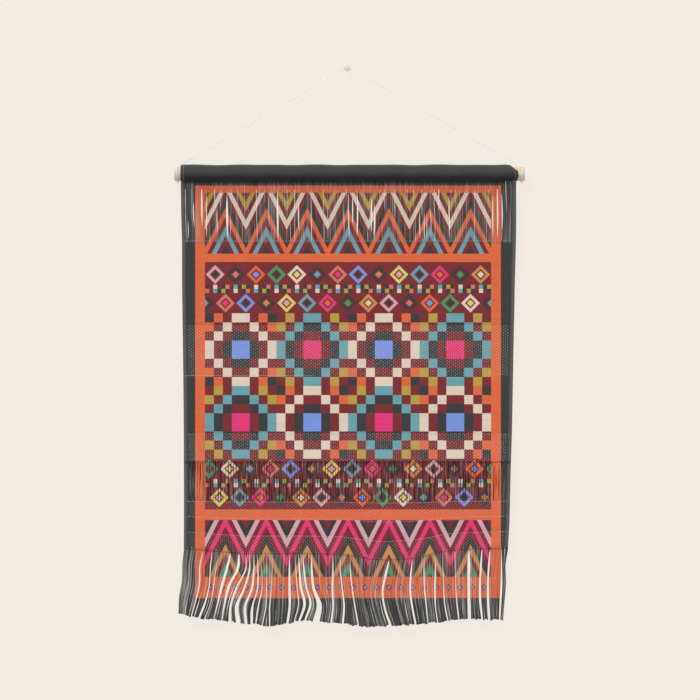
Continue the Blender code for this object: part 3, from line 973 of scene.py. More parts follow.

# %% [markdown]
# ## Boundary picks and the seam's stitches
#
# Where one band ends and the next begins the weaver lays a single pale weft, which shows as a row of dots
# as it dips under every other warp. Each is one thin yarn that waves in and out of the cloth. Two darkened
# yarns of the same kind paint thin shadow lines, at the top of the corded band and under the hem. Under the
# rod a row of short stitches closes the sleeve.

# %% Pale picks
PICKS = (  # height, left end, right end, stand-off and swing in mm
    (-308.8, -290, 295, 1.95, 0.25),
    (-548.6, -288, -60, 1.0, 0.15),
    (-652.6, -287, 289, 0.65, 0.35),
    (-772.4, -286, 285, 0.65, 0.45),
    (-799.2, -286, 285, 0.65, 0.40),
    (-826.4, -286, 284, 0.65, 0.40),
)
# Dark picks that paint the thin shadow lines at the top of the corded band and under the hem.
SHADOW_LINE_PICKS = (
    (-702.6, -290, 291, 1.00, 0.15),
    (-856.0, -289, 285, 1.25, 0.15),
)
PICK_RADIUS = 0.00042
SHADOW_LINE_RADIUS = 0.00055
STEPS_PER_WARP = 4


def pick_line(z_mm, from_mm, to_mm, out_mm, swing_mm):
    z0 = z_mm * MM
    low, high = side_edges(z0)
    first = round((from_mm * MM - low) / (high - low) * WARPS)
    last = round((to_mm * MM - low) / (high - low) * WARPS)
    warp = np.linspace(first, last, (last - first) * STEPS_PER_WARP + 1)
    x = low + (high - low) * warp / WARPS
    z = np.full(len(x), z0)
    out = (out_mm + swing_mm * np.sin(math.pi * warp)) * MM
    return np.column_stack([x, BODY_Y + wave(x, z) - out, z - sag(x, z)])


round_strand = strand_outline("round_strand", 1.0, 5)
pick_lines = [even_yarn(pick_line(*values), PICK_RADIUS) for values in PICKS]
shadow_pick_routes = [even_yarn(pick_line(*values), SHADOW_LINE_RADIUS) for values in SHADOW_LINE_PICKS]
picks = laid_yarns("boundary_picks", pick_lines, round_strand)
shadow_picks = laid_yarns("painted_shadow_picks", shadow_pick_routes, round_strand)
for piece in (picks, shadow_picks):
    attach(piece, "root")
    tell(piece)

# %% Stitches under the rod
STITCH_LENGTH = 0.0036
STITCH_GAP = 0.0018
STITCH_RADIUS = 0.00035
STITCH_Y = LIP_Y - 0.0010
STITCH_Z = SEAM_Z + 0.0004
STITCH_DIP = 0.0005
STITCH_FROM = POCKET_LEFT + 0.004
STITCH_TO = 0.298

stitch_lines = []
x = STITCH_FROM
share = np.linspace(0, 1, 7)
dip = STITCH_DIP * np.sin(math.pi * share)
while x + STITCH_LENGTH < STITCH_TO:
    line = np.column_stack([x + STITCH_LENGTH * share, STITCH_Y - 0.5 * dip, STITCH_Z - dip])
    stitch_lines.append(even_yarn(line, STITCH_RADIUS))
    x += STITCH_LENGTH + STITCH_GAP
stitches = laid_yarns("sleeve_stitches", stitch_lines, round_strand)
hang_straight(stitches, stitch_lines)
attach(stitches, "root")
tell(stitches)
for outline in (two_strands, two_flat, round_strand):
    bpy.data.objects.remove(outline)

print("the sleeve's cloth is", round(float(sleeve_path[-1]), 4), "m round")

# %% [markdown]
# ## Colours and helpers for materials
#
# The cloth is printed after weaving, so the print lies straight across all the bands and runs on into the
# fringe. A shader reads a point's place on the object and works out which colour of the print lies there.
# To keep such sums readable, a number that a node gives is wrapped so that +, -, *, / and < add the Math
# nodes for us.

# %% Colours
COLOURS = {
    "charcoal": (58, 60, 62),
    "orange": (222, 106, 66),
    "maroon": (124, 46, 51),
    "cream": (225, 208, 188),
    "dusty_pink": (216, 166, 176),
    "magenta": (226, 60, 120),
    "green": (62, 152, 102),
    "teal": (108, 162, 172),
    "periwinkle": (122, 150, 222),
    "mustard": (186, 156, 70),
    "ochre": (206, 140, 78),
    "yellow": (226, 202, 112),
    "coral": (206, 120, 104),
}


def linear(rgb):
    """A colour as given on a screen, from 0 to 255, as the linear value that a shader takes."""
    channels = [value / 255 for value in rgb]
    return tuple(c / 12.92 if c <= 0.04045 else ((c + 0.055) / 1.055) ** 2.4 for c in channels) + (1.0,)


MAROON, ORANGE, CHARCOAL = (linear(COLOURS[name]) for name in ("maroon", "orange", "charcoal"))
UNDYED = linear((210, 203, 196))
SLEEVE_COLOUR = linear((65, 66, 67))
CORD_COLOUR = linear((245, 246, 250))
WOOD_COLOURS = (linear((214, 190, 162)), linear((232, 213, 191)))
PIN_COLOURS = (linear((214, 205, 193)), linear((226, 218, 207)))
WALL_COLOUR = linear((243, 236, 228))
# Near black, which painted shade and dark lines are mixed towards.
DARK = (0.01, 0.01, 0.01, 1.0)
# Near black, for the shade painted under the sleeve.
UNDERSIDE_SHADE_COLOUR = (0.004, 0.004, 0.004, 1.0)


# %% Helpers for nodes
def feed(socket, value):
    """Sets a node's input to a constant, or links it to what another node gives."""
    value = getattr(value, "socket", value)
    if isinstance(value, bpy.types.NodeSocket):
        socket.id_data.links.new(value, socket)
    else:
        socket.default_value = value


def add_node(tree, kind, values=None, **settings):
    """Adds a node with its settings, and feeds the inputs that values names by name or number."""
    node = tree.nodes.new(kind)
    for key, value in settings.items():
        setattr(node, key, value)
    for key, value in (values or {}).items():
        feed(node.inputs[key], value)
    return node


class Number:
    """A number that a node gives at each point of a surface. Every sum on it adds one Math node."""

    def __init__(self, socket):
        self.socket = socket

    def calc(self, operation, *others):
        values = dict(enumerate((self, *others)))
        node = add_node(self.socket.id_data, "ShaderNodeMath", values, operation=operation)
        return Number(node.outputs[0])

    def clamped(self):
        """Keeps the last sum's result between 0 and 1."""
        self.socket.node.use_clamp = True
        return self

    def __add__(self, other):
        return self.calc("ADD", other)

    def __sub__(self, other):
        return self.calc("SUBTRACT", other)

    def __rsub__(self, other):
        return self * -1.0 + other

    def __mul__(self, other):
        return self.calc("MULTIPLY", other)

    def __truediv__(self, other):
        return self.calc("DIVIDE", other)

    def __gt__(self, other):
        return self.calc("GREATER_THAN", other)

    def __lt__(self, other):
        return self.calc("LESS_THAN", other)

    def __abs__(self):
        return self.calc("ABSOLUTE")


def axes(vector):
    """A vector's three numbers."""
    parts = add_node(vector.id_data, "ShaderNodeSeparateXYZ", {0: vector})
    return [Number(socket) for socket in parts.outputs]


def noise(vector, scale, detail, stretch=None):
    """Soft patches, from 0 to 1. A stretch scales the three axes first, so that patches can grow long."""
    tree = vector.id_data
    if stretch:
        vector = add_node(tree, "ShaderNodeMapping", {"Vector": vector, "Scale": stretch}).outputs[0]
    values = {"Vector": vector, "Scale": scale, "Detail": detail}
    return Number(add_node(tree, "ShaderNodeTexNoise", values).outputs["Fac"])


def ramp(value, rate, offset):
    """A value times a rate plus an offset, kept between 0 and 1."""
    return (value * rate + offset).clamped()


def past(value, start, rate):
    """How far a value is past a start, times a rate, kept between 0 and 1."""
    return ((value - start) * rate).clamped()


def inside(value, low, high):
    """1 where the value lies between low and high."""
    return (value > low) * (value < high)


def outside(value, low, high):
    """1 where the value lies below low or above high."""
    return (value < low).calc("MAXIMUM", value > high)


def blend_colours(share, first, second, mode="MIX"):
    """Mixes two colours. At least one of the three values comes from a node, whose tree the mix joins."""
    values = [getattr(value, "socket", value) for value in (share, first, second)]
    tree = next(value.id_data for value in values if isinstance(value, bpy.types.NodeSocket))
    node = add_node(tree, "ShaderNodeMix", dict(zip((0, 6, 7), values)), data_type="RGBA", blend_type=mode)
    return node.outputs[2]


def dimmed(colour, brightness):
    """A colour times a brightness."""
    grey = add_node(colour.id_data, "ShaderNodeCombineColor", {channel: brightness for channel in range(3)})
    return blend_colours(1.0, colour, grey.outputs[0], mode="MULTIPLY")


def sequence(index, names):
    """The colour that a whole number picks from a repeating list of names."""
    share = (index.calc("FLOORED_MODULO", len(names)) + 0.5) / len(names)
    stripes = add_node(share.socket.id_data, "ShaderNodeValToRGB", {"Fac": share})
    stripes.color_ramp.interpolation = "CONSTANT"
    stops = stripes.color_ramp.elements
    while len(stops) < len(names):
        stops.new(1.0)
    for number, name in enumerate(names):
        stops[number].position = number / len(names)
        stops[number].color = linear(COLOURS[name])
    return stripes.outputs["Color"]


def new_group(name, inputs, outputs):
    """A node group with named sockets of the given kinds, and its input and output nodes."""
    group = bpy.data.node_groups.new(name, "ShaderNodeTree")
    for way, sockets in (("INPUT", inputs), ("OUTPUT", outputs)):
        for label, kind in sockets.items():
            group.interface.new_socket(label, in_out=way, socket_type=f"NodeSocket{kind}")
    return group, group.nodes.new("NodeGroupInput"), group.nodes.new("NodeGroupOutput")


# %% [markdown]
# ## The print
#
# The pattern is a plain geometric one, such as flat-woven rugs have the world over: flame zigzags at the
# top and bottom, rows of lozenges and checks, and stepped lozenges in the field, between straight borders.
# Each motif is a few sums on the distance across and down. The zigzag, for instance, adds a triangle wave
# to the distance down and counts stripes in it.

# %% The print's motifs
FIELD_LEFT = -0.2535
FIELD_RIGHT = 0.2565
FIELD_TOP = 0.4374
FIELD_BOTTOM = 0.6965
BORDER_WIDTH = 0.0175
ZIGZAG_PERIOD = 0.07286
ZIGZAG_RISE = 0.072
ZIGZAG_STRIPE = 0.0165
ZIGZAG_COLOURS = (
    "maroon", "mustard", "maroon", "cream", "maroon", "charcoal", "orange",
    "maroon", "teal", "maroon", "charcoal", "dusty_pink", "maroon", "magenta",
    "maroon", "charcoal", "ochre", "maroon", "green", "maroon",
)
SMALL_ROW = 0.0364
SMALL_INNER_SHIFT = 5
SMALL_REACHES = (0.46, 0.27, 0.17)
SMALL_COLOURS = (
    "dusty_pink", "charcoal", "orange", "green", "cream", "charcoal", "coral",
    "periwinkle", "charcoal", "yellow", "teal", "magenta", "charcoal", "ochre",
)
CHECK = 0.00729
CHECK_SHIFT = 5
CHECK_COLOURS = (
    "charcoal", "maroon", "cream", "maroon", "charcoal", "coral", "maroon", "teal", "charcoal", "mustard",
)
LOZENGES_ACROSS = 4
LOZENGES_DOWN = 2
LOZENGE_STEPS = 8
LOZENGE_COLOURS = (
    "periwinkle", "charcoal", "maroon", "cream", "maroon", "orange", "charcoal",
    "magenta", "maroon", "charcoal", "teal", "maroon", "mustard", "maroon",
)


def from_middle(place):
    """How far a point is from the middle of its repeat, from 0 to 0.5."""
    return abs(place.calc("FRACT") - 0.5)


def zigzag(across, down, top, first):
    wave_up = (across - FIELD_LEFT).calc("PINGPONG", ZIGZAG_PERIOD / 2)
    raised = wave_up * (2 * ZIGZAG_RISE / ZIGZAG_PERIOD) + (down - top)
    return sequence((raised / ZIGZAG_STRIPE).calc("FLOOR") + first, ZIGZAG_COLOURS)


def lozenge_row(across, down, top, shift):
    """A row of lozenges on maroon, each with a small one inside."""
    place = (across - FIELD_LEFT) / SMALL_ROW + shift
    distance = from_middle(place) + abs((down - top) / SMALL_ROW - 0.5)
    number = place.calc("FLOOR")
    outer = sequence(number + 10 * shift, SMALL_COLOURS)
    inner = sequence(number + (10 * shift + SMALL_INNER_SHIFT), SMALL_COLOURS)
    colour = MAROON
    for reach, filling in zip(SMALL_REACHES, (outer, MAROON, inner)):
        colour = blend_colours(distance < reach, colour, filling)
    return colour


def checks(across, down, top):
    column = ((across - FIELD_LEFT) / CHECK).calc("FLOOR")
    line = ((down - top) / CHECK).calc("FLOOR")
    return sequence(line * CHECK_SHIFT + column, CHECK_COLOURS)


def stepped_lozenges(across, down):
    """Lozenges with stepped sides, in rings of colour. Every other one starts further on in the sequence."""
    column = (across - FIELD_LEFT) / ((FIELD_RIGHT - FIELD_LEFT) / LOZENGES_ACROSS)
    line = (down - FIELD_TOP) / ((FIELD_BOTTOM - FIELD_TOP) / LOZENGES_DOWN)
    rings = [(from_middle(place) * LOZENGE_STEPS).calc("FLOOR") for place in (column, line)]
    odd = (column.calc("FLOOR") + line.calc("FLOOR")).calc("FLOORED_MODULO", 2.0)
    return sequence(odd * (len(LOZENGE_COLOURS) / 2) + (rings[0] + rings[1]), LOZENGE_COLOURS)


# %% Put the print together
ORANGE_STRIPES = ((0.2100, 0.2225), (0.3310, 0.3460), (0.7870, 0.8060), (0.9070, 0.9450))  # top, bottom
PRINT_TOP = ORANGE_STRIPES[0][0]
PRINT_BOTTOM = ORANGE_STRIPES[-1][1]
ZIGZAG_BANDS = ((0.2225, 0.3310, 0), (0.8060, 0.9070, 9))  # top, bottom, first colour
SMALL_ROWS = ((0.3500, 0.0), (0.4010, 0.5), (0.6965, 0.3), (0.7475, 0.8))  # top, shift in lozenges
CHECK_ROWS = (0.3864, 0.7329)
BEAD_ROW = 0.9260
BEAD_PITCH = 0.0212
BEADS = ((0.0058, MAROON), (0.0034, linear(COLOURS["periwinkle"])))  # size, colour
BLEED_SCALE = 700.0
BLEED = 0.0011

print_group, source, result = new_group("print", {"Place": "Vector"}, {"Color": "Color"})
values = {"Vector": source.outputs["Place"], "Scale": BLEED_SCALE, "Detail": 1.0}
spot = add_node(print_group, "ShaderNodeTexNoise", values).outputs["Color"]
for operation, values in (
    ("SUBTRACT", {1: (0.5, 0.5, 0.5)}),
    ("SCALE", {"Scale": BLEED}),
    ("ADD", {1: source.outputs["Place"]}),
):
    spot = add_node(print_group, "ShaderNodeVectorMath", {0: spot, **values}, operation=operation).outputs[0]
across, _, up = axes(spot)
down = up * -1.0

colour = MAROON
for top, bottom, first in ZIGZAG_BANDS:
    colour = blend_colours(inside(down, top, bottom), colour, zigzag(across, down, top, first))
for top, shift in SMALL_ROWS:
    colour = blend_colours(inside(down, top, top + SMALL_ROW), colour, lozenge_row(across, down, top, shift))
for top in CHECK_ROWS:
    colour = blend_colours(inside(down, top, top + 2 * CHECK), colour, checks(across, down, top))
colour = blend_colours(inside(down, FIELD_TOP, FIELD_BOTTOM), colour, stepped_lozenges(across, down))
for top, bottom in ORANGE_STRIPES:
    colour = blend_colours(inside(down, top, bottom), colour, ORANGE)
from_bead = from_middle(across / BEAD_PITCH) * BEAD_PITCH + abs(down - BEAD_ROW)
for size, filling in BEADS:
    colour = blend_colours(from_bead < size, colour, filling)
colour = blend_colours(outside(across, FIELD_LEFT, FIELD_RIGHT), colour, ORANGE)
past_border = outside(across, FIELD_LEFT - BORDER_WIDTH, FIELD_RIGHT + BORDER_WIDTH)
plain_margin = past_border.calc("MAXIMUM", outside(down, PRINT_TOP, PRINT_BOTTOM))
feed(result.inputs["Color"], blend_colours(plain_margin, colour, CHARCOAL))
print("the print has", len(print_group.nodes), "nodes")

# %% [markdown]
# ## Cotton
#
# Cotton yarn isn't one even colour: it takes the dye a little unevenly, its fibres catch the light in fine
# streaks, and the ink doesn't reach the back. One group gives every cotton finish its unevenness. It fades
# the print where the surface turns away from the front, and it lays fine fibres over the normal.

# %% The cotton group
FIBRE_DEPTH = 0.0004
FIBRE_SCALE = 2600.0
FIBRE_STRETCH = (1.0, 1.0, 0.22)
BLOTCH_SCALE = 38.0
PRINT_FADES = (0.20, -0.60)  # the normal's y where the print is gone, and where it is full

cotton_group, source, result = new_group(
    "cotton",
    {
        "Color": "Color",
        "Place": "Vector",
        "Facing": "Vector",
        "Undyed": "Color",
        "Bleed": "Float",
        "Fibre": "Float",
    },
    {"Color": "Color", "Roughness": "Float", "Normal": "Vector"},
)
printed = add_node(cotton_group, "ShaderNodeMapRange", {
    "Value": axes(source.outputs["Facing"])[1],
    "From Min": PRINT_FADES[0],
    "From Max": PRINT_FADES[1],
    "To Min": 0.0,
    "To Max": 1.0,
})
covered = Number(printed.outputs[0]).calc("MAXIMUM", source.outputs["Bleed"])
colour = blend_colours(covered, source.outputs["Undyed"], source.outputs["Color"])
fibres = noise(source.outputs["Place"], FIBRE_SCALE, 3.0, FIBRE_STRETCH)
blotches = noise(source.outputs["Place"], BLOTCH_SCALE, 2.0)
uneven = (fibres * 0.34 + 0.83) * (blotches * 0.12 + 0.94)
values = {"Strength": source.outputs["Fibre"], "Distance": FIBRE_DEPTH, "Height": fibres}
feed(result.inputs["Color"], dimmed(colour, uneven))
feed(result.inputs["Roughness"], fibres * 0.12 + 0.80)
feed(result.inputs["Normal"], add_node(cotton_group, "ShaderNodeBump", values).outputs[0])
print("the cotton group has", len(cotton_group.nodes), "nodes")

# %% [markdown]
# ## The flecks and furrows of the weave
#
# The closed cloth adds what the weave does to the print. In the speckled bands the coarse yarns turn up an
# undyed side at every other crossing, so small pale flecks show on a slant. In the corded band pale threads
# show between the ribs. In the plain bands the imported wefts draw fine level lines. The group also paints
# shade: darker pores between the crossings of the speckled bands, and dark furrows between the ribs where no
# pale thread lies. The group reads the weave map, in which one unit is one warp across and one coarse weft
# down.

# %% The weave group
WARP_WEIGHT = 0.34
SLANTS = ((0.5, 0.32), (-0.5, 0.13))  # step down, weight
FLECK = (0.04, 1.9)  # start and rate, as in the next four
OPEN_THREADS = (0.44, 4.5)
RIB_STREAK = (0.45, 1.6)
RIB_FURROW_SHADE = (-0.2, 0.9)
FAINT_LINES = (0.5, 0.55)
FLECK_PATCHES = (1.6, -0.25)  # rate and offset
PORE_SHADE = 0.15
LONG_STRETCH = (0.9, 0.06, 1.0)
LEVEL_STRETCH = (0.035, 1.1, 1.0)
WEFT_LINES = 2.4


def ripple(value):
    """A wave with a crest at each whole number."""
    return (value * (2 * math.pi)).calc("COSINE")


weave_group, source, result = new_group(
    "weave_flecks_and_shade",
    {"Weave": "Vector", "Speckled": "Float", "Ribbed": "Float"},
    {"Pale": "Float", "Shade": "Float", "Height": "Float"},
)
weave = source.outputs["Weave"]
speckled, ribbed = (Number(source.outputs[label]) for label in ("Speckled", "Ribbed"))
warp, weft, _ = axes(weave)
warp_wave = ripple(warp)
rib_wave = ripple(warp * (2 / RIB_COLUMNS) + 0.5)
plain = (1.0 - (speckled + ribbed)).clamped()

fleck = warp_wave * WARP_WEIGHT
for down_step, weight in SLANTS:
    fleck = ripple(weft * down_step + warp * 0.5) * weight + fleck
fleck = past(fleck, *FLECK) * ramp(noise(weave, 0.6, 2.0), *FLECK_PATCHES) * speckled
laid_open = past(noise(weave, 1.0, 1.0, LONG_STRETCH), *OPEN_THREADS)
streak = past(rib_wave, *RIB_STREAK) * laid_open * ribbed
# Painted shade: darker pores in the speckled bands, and dark furrows between the corded band's ribs.
painted_pore_shade = ((warp_wave + ripple(weft)) * 0.5).clamped() * (speckled * PORE_SHADE)
painted_furrow_shade = past(rib_wave, *RIB_FURROW_SHADE) * (1.0 - laid_open) * ribbed
faint = past(noise(weave, 1.0, 2.0, LEVEL_STRETCH), *FAINT_LINES) * plain
feed(result.inputs["Pale"], fleck.calc("MAXIMUM", streak))
feed(result.inputs["Shade"], painted_pore_shade + painted_furrow_shade + faint)
feed(result.inputs["Height"], (weft * (2 * math.pi * WEFT_LINES)).calc("SINE") * plain)
print("the weave group has", len(weave_group.nodes), "nodes")

# %% [markdown]
# ## The finishes of cloth, yarns, picks and cord
#
# Each finish works out a colour and hands it to the cotton group. Bleed says how much of the colour gets
# through to the back. The yarns of the open band and of the fringe are rubbed: pale streaks run along each
# yarn, stronger on its sides and towards the tips, and weaker at the seam. Shade is painted on the yarns
# just under the sleeve, and in slanted stripes along the twist of their strands. The sleeve is plain
# charcoal, with shade painted on where it turns under the rod, and the darkened picks paint thin shadow
# lines.

# %% Helpers for finishes
BUMP_DEPTH = 0.0003


def new_material(name, roughness=0.85, sheen=0.0):
    material = bpy.data.materials.new(name)
    material.use_nodes = True
    shader = material.node_tree.nodes["Principled BSDF"]
    shader.inputs["Roughness"].default_value = roughness
    shader.inputs["Specular IOR Level"].default_value = 0.25
    shader.inputs["Sheen Weight"].default_value = sheen
    return material, material.node_tree, shader


def cotton_material(name, sheen=0.0):
    """A finish still without its colour: the material, its tree, its shader and the coordinates."""
    material, tree, shader = new_material(name, sheen=sheen)
    return material, tree, shader, add_node(tree, "ShaderNodeTexCoord").outputs


def print_at(place):
    """The print's colour at a place."""
    node = add_node(place.id_data, "ShaderNodeGroup", {"Place": place}, node_tree=print_group)
    return node.outputs["Color"]


def finish_cotton(tree, shader, colour, coordinates, bleed, fibre, ridges=None, strength=0.35):
    """Gives the shader a colour of cotton, and ridges if the yarns make any."""
    cotton = add_node(tree, "ShaderNodeGroup", {
        "Color": colour,
        "Place": coordinates["Object"],
        "Facing": coordinates["Normal"],
        "Undyed": UNDYED,
        "Bleed": bleed,
        "Fibre": fibre,
    }, node_tree=cotton_group)
    for label, socket in (("Base Color", "Color"), ("Roughness", "Roughness"), ("Normal", "Normal")):
        feed(shader.inputs[label], cotton.outputs[socket])
    if ridges:
        values = {"Strength": strength, "Distance": BUMP_DEPTH, "Height": ridges}
        values["Normal"] = cotton.outputs["Normal"]
        feed(shader.inputs["Normal"], add_node(tree, "ShaderNodeBump", values).outputs[0])


def wear(obj, material):
    obj.data.materials.clear()
    obj.data.materials.append(material)
    print(obj.name, "wears", material.name)


# %% The cloth's and the sleeve's finishes
EDGE_PALE = 0.11
FLECK_PALE = 0.46
END_THREADS = (1.15, 1.60)
END_PALE = 0.12
# Painted shade on the sleeve's underside: the more its surface looks down, the darker it is, up to a limit.
UNDERSIDE_SHADE_RAMP = (-1.1, 0.16)  # rate and offset, by how far the surface looks up
UNDERSIDE_SHADE_MOST = 0.62

cloth_finish, tree, shader, coordinates = cotton_material("printed_cloth_woven", sheen=0.05)
weave = add_node(tree, "ShaderNodeUVMap", uv_map="weave").outputs["UV"]
masks = {name: add_node(tree, "ShaderNodeAttribute", attribute_name=name).outputs["Fac"] for name in MASKS}
values = {"Weave": weave, "Speckled": masks["speckled"], "Ribbed": masks["ribbed"]}
woven = add_node(tree, "ShaderNodeGroup", values, node_tree=weave_group).outputs
# The weave group's shade paints darker pores and furrows on the print, and darkens the plain bands' level
# lines.
shaded = blend_colours(woven["Shade"], print_at(coordinates["Object"]), DARK)
pale = (Number(woven["Pale"]) * FLECK_PALE).calc("MAXIMUM", Number(masks["selvedge"]) * EDGE_PALE)
flecked = blend_colours(pale, shaded, UNDYED)
finish_cotton(tree, shader, flecked, coordinates, bleed=0.35, fibre=0.5, ridges=woven["Height"])
wear(cloth, cloth_finish)

sleeve_finish, tree, shader, coordinates = cotton_material("printed_sleeve")
weave = add_node(tree, "ShaderNodeUVMap", uv_map="weave").outputs["UV"]
woven = add_node(tree, "ShaderNodeGroup", {"Weave": weave}, node_tree=weave_group).outputs
warp = axes(weave)[0]
from_end = warp.calc("MINIMUM", float(WARPS) - warp)
# Painted shade: the sleeve darkens towards near black where its surface looks down.
underside_shade = ramp(axes(coordinates["Normal"])[2], *UNDERSIDE_SHADE_RAMP).calc("MINIMUM", UNDERSIDE_SHADE_MOST)
shaded = blend_colours(woven["Shade"], SLEEVE_COLOUR, DARK)
shaded = blend_colours(underside_shade, shaded, UNDERSIDE_SHADE_COLOUR)
shaded = blend_colours(inside(from_end, *END_THREADS) * END_PALE, shaded, UNDYED)
finish_cotton(tree, shader, shaded, coordinates, bleed=0.95, fibre=0.5, ridges=woven["Height"])
wear(sleeve, sleeve_finish)

# %% The loose yarns' finish
TWIST_PITCH = 0.0034
TWIST_LEAN = 0.8
TWIST_DRIFT = 14.0
# Painted shade in slanted stripes along the twist of the strands.
PLY_GROOVE_SHADE = (0.1, 0.26)  # start and rate
LOWER_PART = (-8.0, -6.6)  # rate and offset, as in the next five
YARN_SIDE = (1.8, -0.72)
LOOSE_YARNS = (2.6, -0.95)
RUBBED_PATCHES = (1.6, -0.86)
OUTER_LEFT = (-90.0, -24.0)
ABOVE_TIPS = (24.0, 23.3)
OUTER_LEFT_WEAR = 0.40
STREAK_STRETCH = (420.0, 30.0, 6.0)
GROUP_STRETCH = (140.0, 10.0, 3.0)
PATCH_STRETCH = (26.0, 5.0, 4.0)
SIDE_WEAR = 0.72
# Painted shade under the sleeve: near the seam the yarns are mixed towards near black, and their pale wear
# is held back.
SEAM_SHADE_DROP = 0.0075
SEAM_SHADE_RATE = 160.0
SEAM_WEAR = -0.85
SEAM_SHADE_DEPTH = 0.30

yarn_finish, tree, shader, coordinates = cotton_material("printed_yarn_laid", sheen=0.05)
straight = add_node(tree, "ShaderNodeAttribute", attribute_name="straight").outputs["Vector"]
across, _, up = axes(coordinates["Object"])
lower = ramp(up, *LOWER_PART)
# Where the shade under the sleeve is painted, fading down from the seam.
seam_shade = ramp(up, SEAM_SHADE_RATE, SEAM_SHADE_RATE * (SEAM_SHADE_DROP - SEAM_Z))
side = ramp(abs(axes(coordinates["Normal"])[0]), *YARN_SIDE)
loose = ramp(noise(straight, 1.0, 1.0, GROUP_STRETCH), *LOOSE_YARNS)
rubbed = ramp(noise(coordinates["Object"], 1.0, 1.0, PATCH_STRETCH), *RUBBED_PATCHES)
outer_left = ramp(across, *OUTER_LEFT) * ramp(up, *ABOVE_TIPS)
rubbed = rubbed.calc("MAXIMUM", outer_left * OUTER_LEFT_WEAR) * lower
worn = noise(straight, 1.0, 2.0, STREAK_STRETCH)
worn_share = ((worn - (rubbed * -0.55 + 0.50)) * (lower * 0.65 + 1.5)).clamped()
worn_share = worn_share.calc("MAXIMUM", side * loose * SIDE_WEAR) * (seam_shade * SEAM_WEAR + 1.0)
worn_and_shaded_print = blend_colours(worn_share, print_at(coordinates["Object"]), UNDYED)
# Painted shade near the seam, laid over the worn print.
worn_and_shaded_print = blend_colours(seam_shade * SEAM_SHADE_DEPTH, worn_and_shaded_print, DARK)
# The twist stripes raise ridges and also paint shade on the colour.
ply = ((across * TWIST_LEAN + up) * (2 * math.pi / TWIST_PITCH) + worn * TWIST_DRIFT).calc("SINE")
ply_shaded = blend_colours(past(ply, *PLY_GROOVE_SHADE), worn_and_shaded_print, DARK)
finish_cotton(tree, shader, ply_shaded, coordinates, bleed=0.30, fibre=0.6, ridges=ply, strength=0.6)
for piece in (open_warp, fringe, stitches):
    wear(piece, yarn_finish)

# %% The picks' and the cord's finishes
# The shaded picks are the print darkened: they paint thin shadow lines.
for piece, name, share, tint in ((picks, "pale_pick", 0.45, UNDYED), (shadow_picks, "shaded_pick", 0.38, DARK)):
    pick_finish, tree, shader, coordinates = cotton_material(name)
    colour = blend_colours(share, print_at(coordinates["Object"]), tint)
    finish_cotton(tree, shader, colour, coordinates, bleed=1.0, fibre=0.5)
    wear(piece, pick_finish)

cord_finish, tree, shader, coordinates = cotton_material("white_cotton_cord")
finish_cotton(tree, shader, CORD_COLOUR, coordinates, bleed=1.0, fibre=0.2)
for piece in [hanging_cord, *knots]:
    wear(piece, cord_finish)

# %% [markdown]
# ## Wood and the pin's finish
#
# The dowel is pale, close-grained wood. Its grain runs along the rod as long thin streaks, which is a noise
# squeezed across and stretched along, and on the sawn ends the same rings are seen end on. The pin is
# smooth and pale.

# %% Wood and pin
GRAIN_ENDS = (0.32, 0.68)
GRAIN_STRETCH = (0.035, 1.0, 1.0)

wood_finish, tree, shader = new_material("pale_dowel", 0.5)
place = add_node(tree, "ShaderNodeTexCoord").outputs["Object"]
values = {"Vector": place, "Location": (0.0, -ROD_Y, -ROD_Z)}
centred = add_node(tree, "ShaderNodeMapping", values).outputs[0]
pores = noise(centred, 1500.0, 2.0, GRAIN_STRETCH)
grain = add_node(tree, "ShaderNodeValToRGB", {"Fac": noise(centred, 210.0, 4.0, GRAIN_STRETCH)})
for stop, position, tint in zip(grain.color_ramp.elements, GRAIN_ENDS, WOOD_COLOURS):
    stop.position = position
    stop.color = tint
feed(shader.inputs["Base Color"], dimmed(grain.outputs["Color"], pores * 0.22 + 0.86))
values = {"Strength": 0.3, "Distance": BUMP_DEPTH, "Height": pores}
feed(shader.inputs["Normal"], add_node(tree, "ShaderNodeBump", values).outputs[0])
wear(rod, wood_finish)

pin_finish, tree, shader = new_material("pale_pin_satin", 0.35)
place = add_node(tree, "ShaderNodeTexCoord").outputs["Object"]
feed(shader.inputs["Base Color"], blend_colours(noise(place, 420.0, 2.0), *PIN_COLOURS))
wear(pin, pin_finish)

# %% [markdown]
# ## Wall and light
#
# The wall isn't part of the object, but the hanging needs it for its soft shadow. The photograph's wall is
# so evenly bright that shadows hardly show on it, so ours gives off most of its light and only takes the
# rest from the lamps. It is see-through from behind, so that the back of the cloth can be looked at too. A
# broad soft light comes from above and the left, a weaker one bounces up from below, and a sky that is
# bright above and dim below fills the rest.

# %% The wall
WALL_Y = 0.0004
WALL_GLOW = 0.91
WALL_TAKES = 0.09

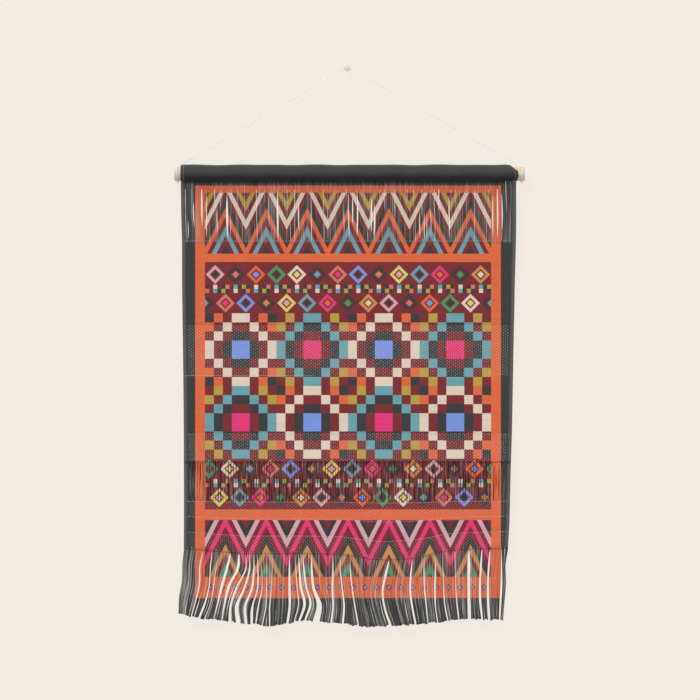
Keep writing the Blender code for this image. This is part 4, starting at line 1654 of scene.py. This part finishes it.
bpy.ops.mesh.primitive_plane_add(size=9.0, location=(0, WALL_Y, -0.5), rotation=(math.pi / 2, 0, 0))
wall = name_it("wall")
wall_finish, tree, shader = new_material("wall_paint", 0.95)
shader.inputs["Specular IOR Level"].default_value = 0.0
taken = [WALL_TAKES * channel for channel in WALL_COLOUR[:3]]
shader.inputs["Base Color"].default_value = (*taken, 1.0)
shader.inputs["Emission Color"].default_value = WALL_COLOUR
shader.inputs["Emission Strength"].default_value = WALL_GLOW
behind = Number(add_node(tree, "ShaderNodeNewGeometry").outputs["Backfacing"])
clear = add_node(tree, "ShaderNodeBsdfTransparent")
see_through = behind.calc("MAXIMUM", add_node(tree, "ShaderNodeLightPath").outputs["Is Shadow Ray"])
choose = add_node(tree, "ShaderNodeMixShader", {0: see_through, 1: shader.outputs[0], 2: clear.outputs[0]})
feed(tree.nodes["Material Output"].inputs["Surface"], choose.outputs[0])
wear(wall, wall_finish)

# %% The light
SUNS = (  # name, lean and turn in degrees, strength, softness in degrees
    ("key_light", 42, -32, 1.75, 30),
    ("fill_light", 75, 40, 0.20, 60),
    ("bounce_light", 120, -10, 0.48, 60),
    ("back_light", 60, 160, 0.5, 60),
)
SKY_COLOUR = (1.0, 0.985, 0.965, 1.0)
SKY_LEVEL = 0.52
SKY_SLOPE = 0.20

for name, lean, turn, strength, softness in SUNS:
    bpy.ops.object.light_add(type="SUN", rotation=(math.radians(lean), 0, math.radians(turn)))
    sun = name_it(name)
    sun.data.energy = strength
    sun.data.angle = math.radians(softness)
sky = bpy.data.worlds.new("pale_sky")
scene.world = sky
sky.use_nodes = True
tree = sky.node_tree
backdrop = tree.nodes["Background"]
backdrop.inputs["Color"].default_value = SKY_COLOUR
upward = axes(add_node(tree, "ShaderNodeTexCoord").outputs["Generated"])[2]
feed(backdrop.inputs["Strength"], upward * SKY_SLOPE + SKY_LEVEL)
seen = add_node(tree, "ShaderNodeBackground", {"Color": WALL_COLOUR, "Strength": 1.0})
to_camera = add_node(tree, "ShaderNodeLightPath").outputs["Is Camera Ray"]
pick_sky = add_node(tree, "ShaderNodeMixShader", {0: to_camera, 1: backdrop.outputs[0], 2: seen.outputs[0]})
feed(tree.nodes["World Output"].inputs["Surface"], pick_sky.outputs[0])
print("the scene has", len(SUNS), "suns and a sky")
